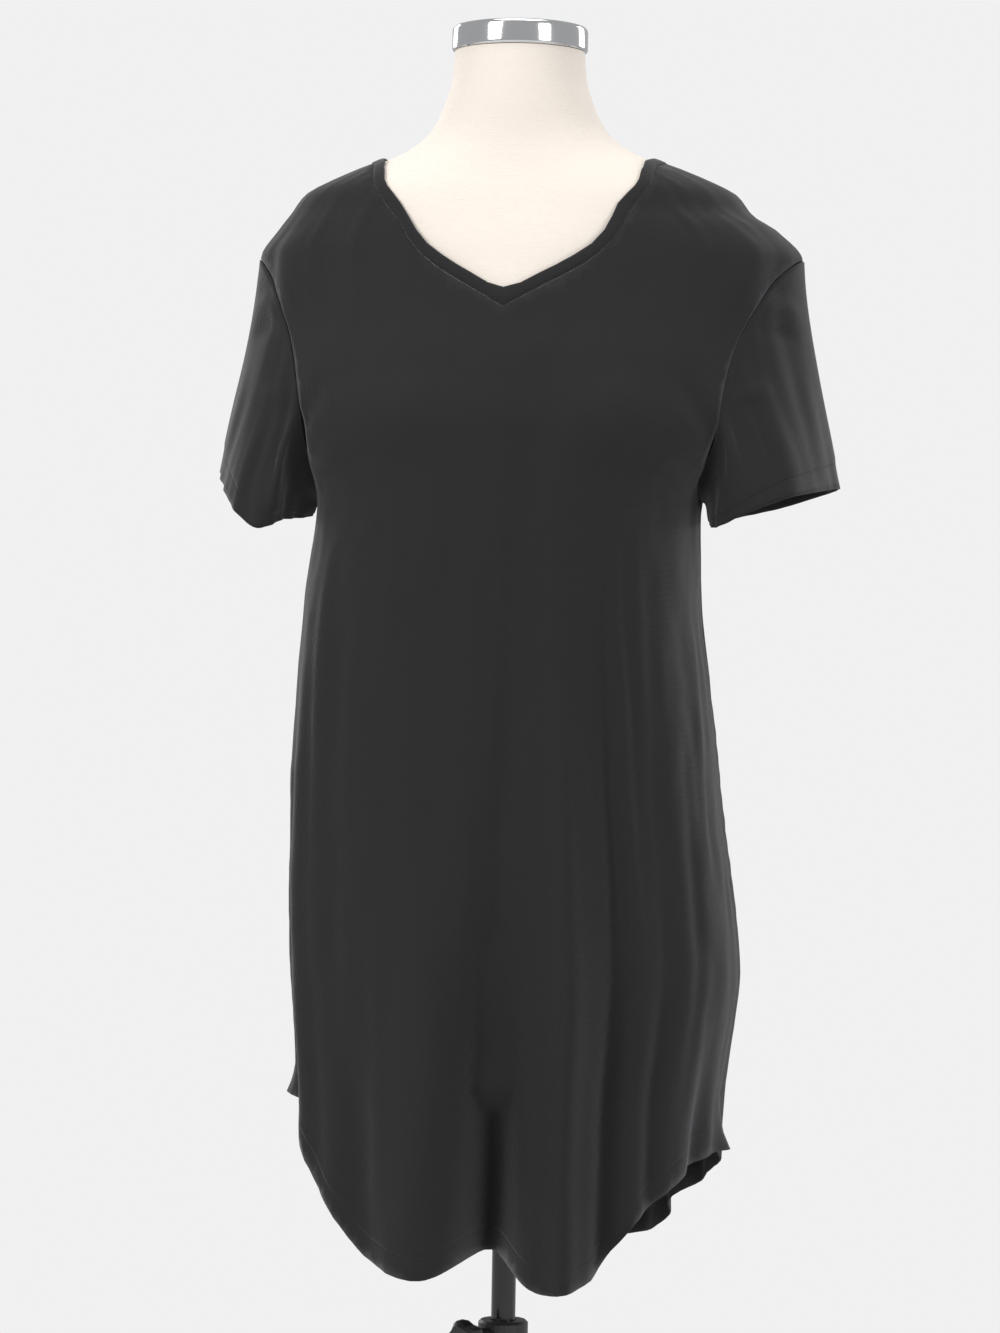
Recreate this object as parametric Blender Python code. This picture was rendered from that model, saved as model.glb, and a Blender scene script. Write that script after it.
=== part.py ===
"""A short-sleeved, V-necked jersey nightshirt with a shirt-tail hem, worn by a limbless dress form on a stand.

Metres, +Z up. The origin is the centre of the underside of the stand's base. The front faces -Y, and
"right" is the viewer's right, +X. A "turn" is an angle about Z in degrees, counted from the front centre:
0 is the front, 90 the right side, 180 the back and -90 the left side.
"""

import math

import bmesh
import bpy
from mathutils import Vector
from mathutils.geometry import delaunay_2d_cdt

# Cloth.
WALL = 0.0012
SEAM_GAP = 0.0004
BAND_WIDTH = 0.010
BAND_PROUD = 0.0004
SIDE_SEAM_RADIUS = 0.110
SEAT_LIFT = WALL + 0.0005
FORM_CLEARANCE = 0.0035

# How fast a fold may deepen below the form's lower edge, as a share of the height below it.
BELOW_FORM_ROOM = 1.2
BELOW_FORM_START = 0.030

# Cells that the panels are cut into, across and along the folds, and the girth's mean radius.
CELL_ACROSS = 0.0122
CELL_ALONG = 0.034
SHOULDER_START = 1.345
SHOULDER_FINER = 2.6
GIRTH_RADIUS = 0.150

# Garment levels. The underarm and the shoulder point are the armhole's bottom and top.
UNDERARM = 1.165
SHOULDER_POINT = 1.352
NECK_POINT = 1.4288
FRONT_NECK = 1.322
BACK_NECK = 1.412

# Half-openings of the armhole, in degrees of turn, at its front and back.
ARMHOLE_FRONT = 33.0
ARMHOLE_BACK = 27.0
ARMHOLE_ROUNDNESS = 2.3
ARMHOLE_METRES_PER_DEGREE = 0.0023
SLEEVE_EDGE_SCALE = 0.9905

# Dress form and stand.
FORM_SIDES = 36
FORM_BOTTOM = 0.740
NECK_TOP = 1.510
CAP_RADIUS = 0.0525
CAP_HEIGHT = 0.0192
TOUCH_GAP = 0.0003
RISER_RADIUS = 0.0095
RISER_BOTTOM = 0.260
TUBE_BORE = 0.0102
TUBE_RADIUS = 0.0135
TUBE_TOP = 0.502
COLLAR_RADIUS = 0.0195
COLLAR_HEIGHT = 0.0240
FLANGE_RADIUS = 0.045
FLANGE_HEIGHT = 0.012
BASE_RADIUS = 0.190
BASE_HUB_HEIGHT = 0.030
KNOB_RADIUS = 0.0160
KNOB_LENGTH = 0.0150
KNOB_DISTANCE = 0.036
KNOB_TURN = -35.0
KNOB_LOBES = 5
SCREW_RADIUS = 0.0030
SCREW_BORE = 0.0034
BOSS_RADIUS = 0.0075
BOSS_REACH = 0.0285
ROUND_SIDES = 28

# The form's level sections: half-width, front and back depth from the offset line, and squareness.
FORM_COLUMNS = ("height", "left", "right", "front", "back", "offset", "fullness")
FORM_LEVELS = [
    (0.740, 0.157, 0.157, 0.098, 0.097, 0.000, 0.04),
    (0.770, 0.161, 0.161, 0.102, 0.102, 0.000, 0.04),
    (0.810, 0.164, 0.164, 0.106, 0.106, 0.000, 0.04),
    (0.860, 0.161, 0.161, 0.106, 0.106, 0.000, 0.04),
    (0.920, 0.149, 0.149, 0.102, 0.098, 0.000, 0.03),
    (0.980, 0.129, 0.129, 0.095, 0.084, 0.000, 0.02),
    (1.030, 0.117, 0.117, 0.090, 0.075, 0.000, 0.02),
    (1.070, 0.119, 0.119, 0.095, 0.077, 0.000, 0.03),
    (1.120, 0.126, 0.126, 0.105, 0.083, 0.000, 0.05),
    (1.170, 0.136, 0.136, 0.118, 0.091, 0.000, 0.07),
    (1.210, 0.142, 0.142, 0.122, 0.095, 0.000, 0.07),
    (1.250, 0.151, 0.151, 0.115, 0.097, 0.000, 0.05),
    (1.290, 0.164, 0.164, 0.104, 0.097, 0.000, 0.03),
    (1.330, 0.176, 0.176, 0.094, 0.095, 0.000, 0.01),
    (1.365, 0.181, 0.181, 0.086, 0.090, -0.002, 0.00),
    (1.385, 0.179, 0.179, 0.080, 0.085, -0.004, 0.00),
    (1.400, 0.167, 0.167, 0.075, 0.079, -0.006, 0.00),
    (1.415, 0.136, 0.136, 0.068, 0.071, -0.009, 0.00),
    (1.4275, 0.102, 0.102, 0.062, 0.063, -0.013, 0.00),
    (1.436, 0.084, 0.084, 0.058, 0.059, -0.016, 0.00),
    (1.450, 0.068, 0.068, 0.055, 0.056, -0.019, 0.00),
    (1.467, 0.059, 0.059, 0.053, 0.054, -0.022, 0.00),
    (1.490, 0.052, 0.052, 0.0515, 0.0515, -0.024, 0.00),
    (1.510, 0.0505, 0.0505, 0.0505, 0.0505, -0.025, 0.00),
]

# The shirt's own level sections, up to where it lies on the form's shoulders.
SHIRT_LEVELS = [
    (0.540, 0.158, 0.160, 0.122, 0.108, 0.000, 0.06),
    (0.620, 0.160, 0.161, 0.123, 0.109, 0.000, 0.06),
    (0.700, 0.163, 0.165, 0.124, 0.111, 0.000, 0.06),
    (0.760, 0.168, 0.174, 0.125, 0.112, 0.000, 0.06),
    (0.800, 0.171, 0.178, 0.125, 0.112, 0.000, 0.06),
    (0.860, 0.173, 0.173, 0.124, 0.111, 0.000, 0.06),
    (0.930, 0.173, 0.163, 0.123, 0.107, 0.000, 0.06),
    (1.010, 0.170, 0.154, 0.122, 0.103, 0.000, 0.07),
    (1.090, 0.163, 0.145, 0.123, 0.101, 0.000, 0.08),
    (1.160, 0.154, 0.144, 0.125, 0.102, 0.000, 0.08),
    (1.215, 0.174, 0.176, 0.1255, 0.104, 0.000, 0.075),
    (1.263, 0.189, 0.193, 0.1165, 0.105, 0.000, 0.05),
    (1.300, 0.198, 0.206, 0.1060, 0.104, 0.000, 0.03),
    (1.330, 0.203, 0.215, 0.0985, 0.101, 0.000, 0.01),
    (1.352, 0.205, 0.220, 0.0935, 0.097, 0.000, 0.00),
    (1.374, 0.191, 0.201, 0.0870, 0.091, -0.002, 0.00),
]
SHOULDER_REST = 1.384

# The hem's height at each turn, all round.
HEM_COLUMNS = ("turn", "height")
HEM_EDGE = [
    (-180.0, 0.572),
    (-146.0, 0.588),
    (-118.0, 0.650),
    (-90.0, 0.700),
    (-65.0, 0.676),
    (-48.0, 0.622),
    (-33.0, 0.583),
    (-17.0, 0.573),
    (-1.0, 0.590),
    (16.0, 0.5645),
    (29.0, 0.574),
    (41.0, 0.618),
    (62.0, 0.653),
    (90.0, 0.665),
    (118.0, 0.632),
    (146.0, 0.584),
    (180.0, 0.572),
]

# The neckline's height against the turn from the front centre, which goes on round the back.
NECKLINE_COLUMNS = ("turn", "height")
FRONT_NECKLINE = [
    (0.0, FRONT_NECK),
    (8.0, 1.3350),
    (17.0, 1.3555),
    (27.0, 1.3865),
    (34.0, 1.4015),
    (46.0, 1.4165),
    (62.0, 1.4250),
    (90.0, NECK_POINT),
]
BACK_NECKLINE = [
    (90.0, NECK_POINT),
    (118.0, 1.4270),
    (140.0, 1.4210),
    (160.0, 1.4145),
    (180.0, BACK_NECK),
]

# Folds that run up from the hem: the turn at the hem and at the fold's top, how far the fold spreads to
# its left and right in degrees, how far it stands out (or in, if negative), and the heights between
# which it grows from nothing to its full depth.
FOLD_COLUMNS = ("hem_turn", "top_turn", "left", "right", "depth", "full", "top")
BODY_FOLDS = [
    (-1.0, 3.0, 11.0, 15.0, -0.040, 0.600, 0.900),
    (-2.0, 4.0, 7.0, 12.0, -0.010, 0.800, 1.130),
    (-19.0, -12.0, 16.0, 11.0, 0.012, 0.640, 0.980),
    (21.0, 18.0, 6.5, 6.5, 0.015, 0.700, 1.110),
    (33.0, 29.0, 6.5, 7.0, -0.016, 0.720, 1.150),
    (46.0, 42.0, 4.5, 5.0, -0.005, 0.860, 1.120),
    (-36.0, -40.0, 11.0, 11.0, -0.006, 0.640, 0.880),
    (-59.0, -58.0, 8.0, 8.0, 0.006, 0.860, 1.120),
    (-76.0, -74.0, 8.0, 8.0, -0.009, 0.800, 1.120),
    (66.0, 70.0, 9.0, 9.0, -0.010, 0.600, 0.820),
    (104.0, 106.0, 9.0, 9.0, 0.006, 0.640, 0.960),
    (126.0, 130.0, 10.0, 9.0, -0.018, 0.600, 0.960),
    (147.0, 146.0, 9.0, 10.0, 0.012, 0.620, 1.020),
    (172.0, 170.0, 11.0, 12.0, -0.030, 0.590, 0.900),
    (172.0, 170.0, 8.0, 9.0, -0.006, 0.780, 1.140),
    (-164.0, -162.0, 9.0, 10.0, 0.012, 0.620, 1.060),
    (-141.0, -146.0, 9.0, 9.0, -0.020, 0.600, 0.980),
    (-119.0, -116.0, 9.0, 9.0, 0.008, 0.640, 1.000),
    (-103.0, -104.0, 7.0, 7.0, -0.006, 0.640, 0.960),
]

# Ridges where the shoulder's front and back turn towards the sleeve.
RIDGE_COLUMNS = ("turn", "spread", "depth", "centre", "reach")
SHOULDER_RIDGES = [
    (57.0, 12.0, 0.0050, 1.335, 0.055),
    (-57.0, 12.0, 0.0050, 1.335, 0.055),
    (125.0, 13.0, 0.0040, 1.330, 0.055),
    (-125.0, 13.0, 0.0040, 1.330, 0.055),
]

# The side seam's lower corners turn outwards.
CORNER_FLARE = 0.011
CORNER_SPREAD = 11.0
CORNER_REACH = 0.016

# The sleeve's hem, round from its outer top edge by way of the front: where it lies.
CUFF_COLUMNS = ("round", "x", "y", "z")
LEFT_CUFF = [
    (0.0, -0.2370, 0.016, 1.186),
    (45.0, -0.2235, -0.042, 1.169),
    (75.0, -0.2085, -0.072, 1.150),
    (98.0, -0.1900, -0.079, 1.138),
    (128.0, -0.1740, -0.064, 1.145),
    (180.0, -0.1630, -0.005, 1.150),
    (228.0, -0.1740, 0.050, 1.157),
    (270.0, -0.2030, 0.070, 1.168),
    (318.0, -0.2290, 0.054, 1.181),
]
RIGHT_CUFF = [
    (0.0, 0.2500, 0.014, 1.177),
    (45.0, 0.2370, -0.040, 1.172),
    (75.0, 0.2165, -0.074, 1.166),
    (98.0, 0.1930, -0.077, 1.157),
    (132.0, 0.1600, -0.064, 1.143),
    (180.0, 0.1530, -0.004, 1.149),
    (228.0, 0.1650, 0.050, 1.154),
    (270.0, 0.2030, 0.070, 1.164),
    (318.0, 0.2370, 0.056, 1.174),
]
SLEEVE_ROUND = 40
SLEEVE_ROWS = 8

BLACK_JERSEY = ("black_jersey", (0.012, 0.012, 0.013), 0.85, 0.0)
CREAM_COVER = ("cream_cover", (0.80, 0.74, 0.68), 0.80, 0.0)
CHROME = ("chrome_cap", (0.62, 0.63, 0.64), 0.18, 1.0)
BLACK_STEEL = ("black_steel", (0.015, 0.015, 0.016), 0.35, 0.4)
BLACK_PLASTIC = ("black_plastic", (0.012, 0.012, 0.012), 0.50, 0.0)


def clear_scene():
    for thing in list(bpy.data.objects):
        bpy.data.objects.remove(thing, do_unlink=True)


def material(look):
    name, colour, roughness, metallic = look
    found = bpy.data.materials.get(name)
    if found:
        return found
    made = bpy.data.materials.new(name)
    made.use_nodes = True
    shader = made.node_tree.nodes["Principled BSDF"]
    shader.inputs["Base Color"].default_value = (*colour, 1.0)
    shader.inputs["Roughness"].default_value = roughness
    shader.inputs["Metallic"].default_value = metallic
    return made


def smooth(x):
    """0 below 0, 1 above 1, and a soft step between."""
    x = min(1.0, max(0.0, x))
    return x * x * (3.0 - 2.0 * x)


def bell(distance, spread):
    """1 at the middle, falling softly to 0 at the spread."""
    if abs(distance) >= spread:
        return 0.0
    return 0.5 * (1.0 + math.cos(math.pi * distance / spread))


def wrap(turn):
    """The same turn between -180 and 180."""
    return (turn + 180.0) % 360.0 - 180.0


def slopes(rows, column, period=None):
    """A table column's slope at each row, which never overshoots the rows."""
    count = len(rows)
    found = []
    for i in range(count):
        before = i - 1
        after = i + 1
        if period is None and (before < 0 or after >= count):
            found.append(0.0)
            continue
        here = rows[i]
        low = rows[before % count]
        high = rows[after % count]
        low_key = low[0] - (period if before < 0 else 0.0)
        high_key = high[0] + (period if after >= count else 0.0)
        left = (here[column] - low[column]) / (here[0] - low_key)
        right = (high[column] - here[column]) / (high_key - here[0])
        if left * right <= 0.0:
            found.append(0.0)
        else:
            found.append(2.0 * left * right / (left + right))
    return found


class Table:
    """Rows of named columns, the first of them the key, read between the rows along smooth curves."""

    def __init__(self, columns, rows, period=None):
        self.rows = rows
        self.period = period
        self.index = {name: i for i, name in enumerate(columns)}
        self.slope = {name: slopes(rows, i, period) for name, i in self.index.items() if i}

    def at(self, name, key):
        column = self.index[name]
        rows = self.rows
        count = len(rows)
        if self.period is not None:
            key = rows[0][0] + (key - rows[0][0]) % self.period
        elif key <= rows[0][0]:
            return rows[0][column]
        elif key >= rows[-1][0]:
            return rows[-1][column]
        last = count - 1
        i = 0
        while i < last and rows[i + 1][0] <= key:
            i += 1
        j = (i + 1) % count
        end = rows[j][0] + (self.period if j == 0 else 0.0)
        length = end - rows[i][0]
        t = (key - rows[i][0]) / length
        curve = self.slope[name]
        return (
            rows[i][column] * (1.0 + 2.0 * t) * (1.0 - t) ** 2
            + rows[j][column] * t * t * (3.0 - 2.0 * t)
            + curve[i] * length * t * (1.0 - t) ** 2
            - curve[j] * length * t * t * (1.0 - t)
        )


def lifted(row):
    """A level of the form, lifted and grown so that the cloth lies on it."""
    height, left, right, front, back, offset, fullness = row
    grown = [size + SEAT_LIFT for size in (left, right, front, back)]
    return (height + SEAT_LIFT, *grown, offset, fullness)


FORM = Table(FORM_COLUMNS, FORM_LEVELS)
SHIRT = Table(FORM_COLUMNS, SHIRT_LEVELS + [lifted(row) for row in FORM_LEVELS if row[0] > SHOULDER_REST])
HEM = Table(HEM_COLUMNS, HEM_EDGE)
FRONT_NECK_EDGE = Table(NECKLINE_COLUMNS, FRONT_NECKLINE)
BACK_NECK_EDGE = Table(NECKLINE_COLUMNS, BACK_NECKLINE)


def ring_point(levels, turn, height):
    """A point of a level section: half an ellipse in front, half behind, filled out towards its corners."""
    angle = math.radians(turn)
    across = math.sin(angle)
    along = -math.cos(angle)
    width = levels.at("right" if across > 0.0 else "left", height)
    depth = levels.at("back" if along > 0.0 else "front", height)
    full = 1.0 + levels.at("fullness", height) * math.sin(2.0 * angle) ** 2
    return Vector((width * across * full, depth * along * full + levels.at("offset", height), height))


def outward(surface, turn, height):
    """The surface's unit normal, pointing away from the body."""
    step_turn = 0.4
    step_height = 0.002
    across = surface(turn + step_turn, height) - surface(turn - step_turn, height)
    along = surface(turn, height + step_height) - surface(turn, height - step_height)
    return across.cross(along).normalized()


def fold_depth(turn, height):
    """How far all the folds together move the cloth out or in."""
    total = 0.0
    for hem_turn, top_turn, left, right, depth, full, top in BODY_FOLDS:
        grown = smooth((top - height) / (top - full))
        if grown == 0.0:
            continue
        share = min(1.0, max(0.0, (height - HEM.rows[9][1]) / (top - HEM.rows[9][1])))
        away = wrap(turn - hem_turn - (top_turn - hem_turn) * share)
        total += depth * grown * bell(away, left if away < 0.0 else right)
    for centre_turn, spread, depth, centre, reach in SHOULDER_RIDGES:
        total += depth * bell(wrap(turn - centre_turn), spread) * bell(height - centre, reach)
    above_hem = max(0.0, height - HEM.at("height", turn))
    for side in (-90.0, 90.0):
        total += CORNER_FLARE * bell(wrap(turn - side), CORNER_SPREAD) * math.exp(-above_hem / CORNER_REACH)
    return total


def shirt_base(turn, height):
    return ring_point(SHIRT, turn, height)


def shirt_surface(turn, height):
    """The outer face of the shirt's body, folds and all."""
    base = shirt_base(turn, height)
    depth = fold_depth(turn, height)
    if depth == 0.0:
        return base
    out = outward(shirt_base, turn, height)
    if height < SHOULDER_REST:
        under = ring_point(FORM, turn, max(height, FORM_BOTTOM))
        below = max(0.0, FORM_BOTTOM - BELOW_FORM_START - height)
        room = (base - under).dot(out) - WALL - FORM_CLEARANCE + BELOW_FORM_ROOM * below
        depth = max(depth, min(0.0, -room))
    return base + out * depth


def armhole_shape(opening):
    """Points evenly along half an armhole, as shares of its height and opening, from the top down."""
    reach_up = 0.5 * (SHOULDER_POINT - UNDERARM)
    reach_out = abs(opening) * ARMHOLE_METRES_PER_DEGREE
    power = 2.0 / ARMHOLE_ROUNDNESS
    fine = []
    for angle in sweep(0.0, 180.0, 720):
        up = math.cos(math.radians(angle))
        up = math.copysign(abs(up) ** power, up)
        fine.append((up, abs(math.sin(math.radians(angle))) ** power))
    walked = [0.0]
    for a, b in zip(fine, fine[1:]):
        walked.append(walked[-1] + math.hypot((b[0] - a[0]) * reach_up, (b[1] - a[1]) * reach_out))
    count = SLEEVE_ROUND // 2
    shape = []
    i = 0
    for n in range(count + 1):
        while walked[i] < walked[-1] * n / count - 1e-9:
            i += 1
        shape.append(fine[i])
    shape[-1] = (-1.0, 0.0)
    return shape


def armhole_spots(side, opening, scale=1.0):
    """Half an armhole in (turn, height) from the top down; a scale below 1 gives the sleeve's own edge."""
    middle = 0.5 * (UNDERARM + SHOULDER_POINT)
    reach = 0.5 * (SHOULDER_POINT - UNDERARM)
    return [
        (side * (90.0 - opening * scale * out), middle + reach * scale * up)
        for up, out in armhole_shape(opening)
    ]


FRONT_NECK_TURNS = [90.0 * i / 26 for i in range(1, 27)]
BACK_NECK_TURNS = [90.0 + 90.0 * i / 20 for i in range(21)]


def neck_height(turn):
    turn = abs(wrap(turn))
    edge = FRONT_NECK_EDGE if turn <= 90.0 else BACK_NECK_EDGE
    return edge.at("height", turn)


def chart(turn, height):
    """Flat coordinates in cells, in which a panel is cut, with finer cells over the shoulders."""
    above = max(0.0, height - SHOULDER_START)
    return (
        math.radians(turn) * GIRTH_RADIUS / CELL_ACROSS,
        (height + (SHOULDER_FINER - 1.0) * above) / CELL_ALONG,
    )


def unchart(u, v):
    along = v * CELL_ALONG
    above = max(0.0, along - SHOULDER_START)
    height = along - above * (1.0 - 1.0 / SHOULDER_FINER)
    return math.degrees(u * CELL_ACROSS / GIRTH_RADIUS), height


def spaced(line, step=1.0):
    """A fine line of (turn, height), thinned to points about a cell apart, ends kept."""
    flat = [Vector(chart(*point)) for point in line]
    total = sum((b - a).length for a, b in zip(flat, flat[1:]))
    count = max(1, round(total / step))
    kept = [line[0]]
    walked = 0.0
    for i in range(1, len(line)):
        walked += (flat[i] - flat[i - 1]).length
        if walked >= total * len(kept) / count - 1e-9 and len(kept) < count:
            kept.append(line[i])
    kept.append(line[-1])
    return kept


def sweep(start, end, count):
    return [start + (end - start) * i / count for i in range(count + 1)]


def beside(turn, height, ahead, distance):
    """The (turn, height) that lies a distance below a line on the shirt, square to the line's way ahead."""
    step_turn = 0.2
    step_height = 0.001
    across = (shirt_base(turn + step_turn, height) - shirt_base(turn - step_turn, height)) / (2.0 * step_turn)
    along = (shirt_base(turn, height + step_height) - shirt_base(turn, height - step_height)) / (2.0 * step_height)
    way = across * ahead[0] + along * ahead[1]
    down = way.cross(across.cross(along)).normalized() * distance
    a = across.dot(across)
    b = across.dot(along)
    c = along.dot(along)
    p = down.dot(across)
    q = down.dot(along)
    det = a * c - b * b
    return turn + (p * c - q * b) / det, height + (q * a - p * b) / det


def neck_line(distance, turns):
    """The neckline moved down the cloth by a distance, at the given turns of its own edge."""
    line = []
    for turn in turns:
        side = -1.0 if turn < 0.0 else 1.0
        size = min(abs(turn), 180.0)
        size = max(size, 0.05)
        step = 0.3
        low = max(0.05, size - step)
        high = min(180.0, size + step)
        rise = (neck_height(high) - neck_height(low)) / (high - low)
        moved_turn, moved_height = beside(size, neck_height(size), (1.0, rise), distance)
        line.append((side * moved_turn, moved_height))
    return line


def front_neck_half(distance):
    """The right half of the front neckline, from the centre's mitre to the shoulder seam."""
    line = neck_line(distance, FRONT_NECK_TURNS)
    (t1, h1), (t2, h2) = line[0], line[1]
    line.insert(0, (0.0, h1 - t1 * (h2 - h1) / (t2 - t1)))
    return line


def seam_turn(radius):
    """Half a seam's gap as degrees of turn, where the seam is that far from the turn's axis."""
    return math.degrees(0.5 * SEAM_GAP / radius)


def front_outline():
    gap = seam_turn(SIDE_SEAM_RADIUS)
    hem = [(turn, HEM.at("height", turn)) for turn in sweep(-90.0 + gap, 90.0 - gap, 240)]
    side = [(90.0 - gap, height) for height in sweep(HEM.at("height", 90.0), UNDERARM, 80)]
    armhole = armhole_spots(1.0, ARMHOLE_FRONT)[::-1]
    armhole[0] = (90.0 - gap, UNDERARM)
    armhole[-1] = (90.0 - gap, SHOULDER_POINT)
    neck = front_neck_half(BAND_WIDTH + SEAM_GAP)[::-1]
    neck[0] = (90.0 - gap, neck[0][1])
    shoulder = [(90.0 - gap, height) for height in sweep(SHOULDER_POINT, neck[0][1], 60)]
    right = joined([spaced(side), armhole, spaced(shoulder), neck])
    left = [(-turn, left_side_height(height)) for turn, height in right][::-1]
    return joined([spaced(hem), right, left])


def left_side_height(height):
    """The left side seam starts at its own hem height, and shares the rest with the right."""
    low = HEM.at("height", 90.0)
    if height >= UNDERARM:
        return height
    share = (height - low) / (UNDERARM - low)
    return HEM.at("height", -90.0) + share * (UNDERARM - HEM.at("height", -90.0))


def back_outline():
    gap = seam_turn(SIDE_SEAM_RADIUS)
    hem_turns = sweep(90.0 + gap, 270.0 - gap, 240)
    hem = [(turn, HEM.at("height", wrap(turn))) for turn in hem_turns]
    neck = neck_line(BAND_WIDTH + SEAM_GAP, BACK_NECK_TURNS)[::-1]
    neck[0] = (180.0, neck[0][1])
    neck[-1] = (90.0 + gap, neck[-1][1])
    armhole = armhole_spots(1.0, -ARMHOLE_BACK)
    armhole[0] = (90.0 + gap, SHOULDER_POINT)
    armhole[-1] = (90.0 + gap, UNDERARM)
    side = [(90.0 + gap, height) for height in sweep(UNDERARM, HEM.at("height", 90.0), 80)]
    shoulder = [(90.0 + gap, height) for height in sweep(neck[-1][1], SHOULDER_POINT, 60)]
    right = joined([neck, spaced(shoulder), armhole, spaced(side)])
    left = [(360.0 - turn, left_side_height(height)) for turn, height in right][::-1]
    return joined([spaced(hem), left, right])


def joined(lines):
    """Lines end to end as one closed outline, without repeated points."""
    outline = []
    for line in lines:
        for point in line:
            flat = Vector(chart(*point))
            if outline and (flat - Vector(chart(*outline[-1]))).length < 0.08:
                continue
            outline.append(point)
    if (Vector(chart(*outline[0])) - Vector(chart(*outline[-1]))).length < 0.08:
        outline.pop()
    return outline


def inside_points(outline):
    """Grid points in cells, inside the outline and clear of its edge."""
    flat = [Vector(chart(*point)) for point in outline]
    edges = list(zip(flat, flat[1:] + flat[:1]))
    low_u = math.floor(min(p.x for p in flat))
    high_u = math.ceil(max(p.x for p in flat))
    low_v = math.floor(min(p.y for p in flat))
    high_v = math.ceil(max(p.y for p in flat))
    kept = []
    for v in range(low_v, high_v + 1):
        for u in range(low_u, high_u + 1):
            here = Vector((u + (0.5 if v % 2 else 0.0), v))
            crossings = 0
            near = False
            for a, b in edges:
                if (a.y > here.y) != (b.y > here.y):
                    crossing = a.x + (here.y - a.y) * (b.x - a.x) / (b.y - a.y)
                    crossings += here.x < crossing
                way = b - a
                share = max(0.0, min(1.0, (here - a).dot(way) / way.length_squared))
                if (here - a - way * share).length < 0.5:
                    near = True
                    break
            if crossings % 2 and not near:
                kept.append(here)
    return kept


def wall_object(name, outer, inner, faces, look):
    """A closed wall: outer faces, inner faces turned over, and strips round every open edge."""
    count = len(outer)
    edge_use = {}
    for face in faces:
        for a, b in zip(face, face[1:] + face[:1]):
            edge_use[(a, b)] = edge_use.get((a, b), 0) + 1
    solid = [list(face) for face in faces]
    solid += [[count + i for i in reversed(face)] for face in faces]
    for a, b in list(edge_use):
        if (b, a) not in edge_use:
            solid.append([b, a, count + a, count + b])
    mesh = bpy.data.meshes.new(name)
    mesh.from_pydata([tuple(p) for p in outer + inner], [], solid)
    mesh.validate()
    mesh.shade_smooth()
    mesh.set_sharp_from_angle(angle=math.radians(50.0))
    thing = bpy.data.objects.new(name, mesh)
    thing.data.materials.append(material(look))
    bpy.context.scene.collection.objects.link(thing)
    return thing


def cloth_panel(name, outline):
    """A panel cut to an outline in (turn, height) and laid on the shirt's surface."""
    flat = [Vector(chart(*point)) for point in outline]
    points = flat + inside_points(outline)
    border = list(range(len(flat)))
    result = delaunay_2d_cdt(points, [], [border], 1, 1e-6)
    spots = [unchart(p.x, p.y) for p in result[0]]
    outer = [shirt_surface(turn, height) for turn, height in spots]
    inner = [p - outward(shirt_surface, *spot) * WALL for p, spot in zip(outer, spots)]
    faces = [list(face) for face in result[2]]
    return wall_object(name, outer, inner, faces, BLACK_JERSEY)


def neckband():
    """The folded band round the whole neck opening, a strip with its own wall."""
    edge = [(0.0, FRONT_NECK)] + neck_line(0.0, FRONT_NECK_TURNS) + neck_line(0.0, BACK_NECK_TURNS)[1:]
    seam = front_neck_half(BAND_WIDTH) + neck_line(BAND_WIDTH, BACK_NECK_TURNS)[1:]
    edge[-1] = (180.0, edge[-1][1])
    seam[-1] = (180.0, seam[-1][1])
    edge += [(-turn, height) for turn, height in edge[1:-1]][::-1]
    seam += [(-turn, height) for turn, height in seam[1:-1]][::-1]
    outer = []
    inner = []
    for share in (0.0, 0.5, 1.0):
        for (t0, h0), (t1, h1) in zip(edge, seam):
            spot = (t0 + (t1 - t0) * share, h0 + (h1 - h0) * share)
            out = outward(shirt_base, *spot)
            point = shirt_surface(*spot)
            outer.append(point + out * BAND_PROUD)
            inner.append(point - out * WALL)
    count = len(edge)
    faces = []
    for row in range(2):
        for i in range(count):
            j = (i + 1) % count
            faces.append([row * count + i, (row + 1) * count + i, (row + 1) * count + j, row * count + j])
    return wall_object("neckband", outer, inner, faces, BLACK_JERSEY)


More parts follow.
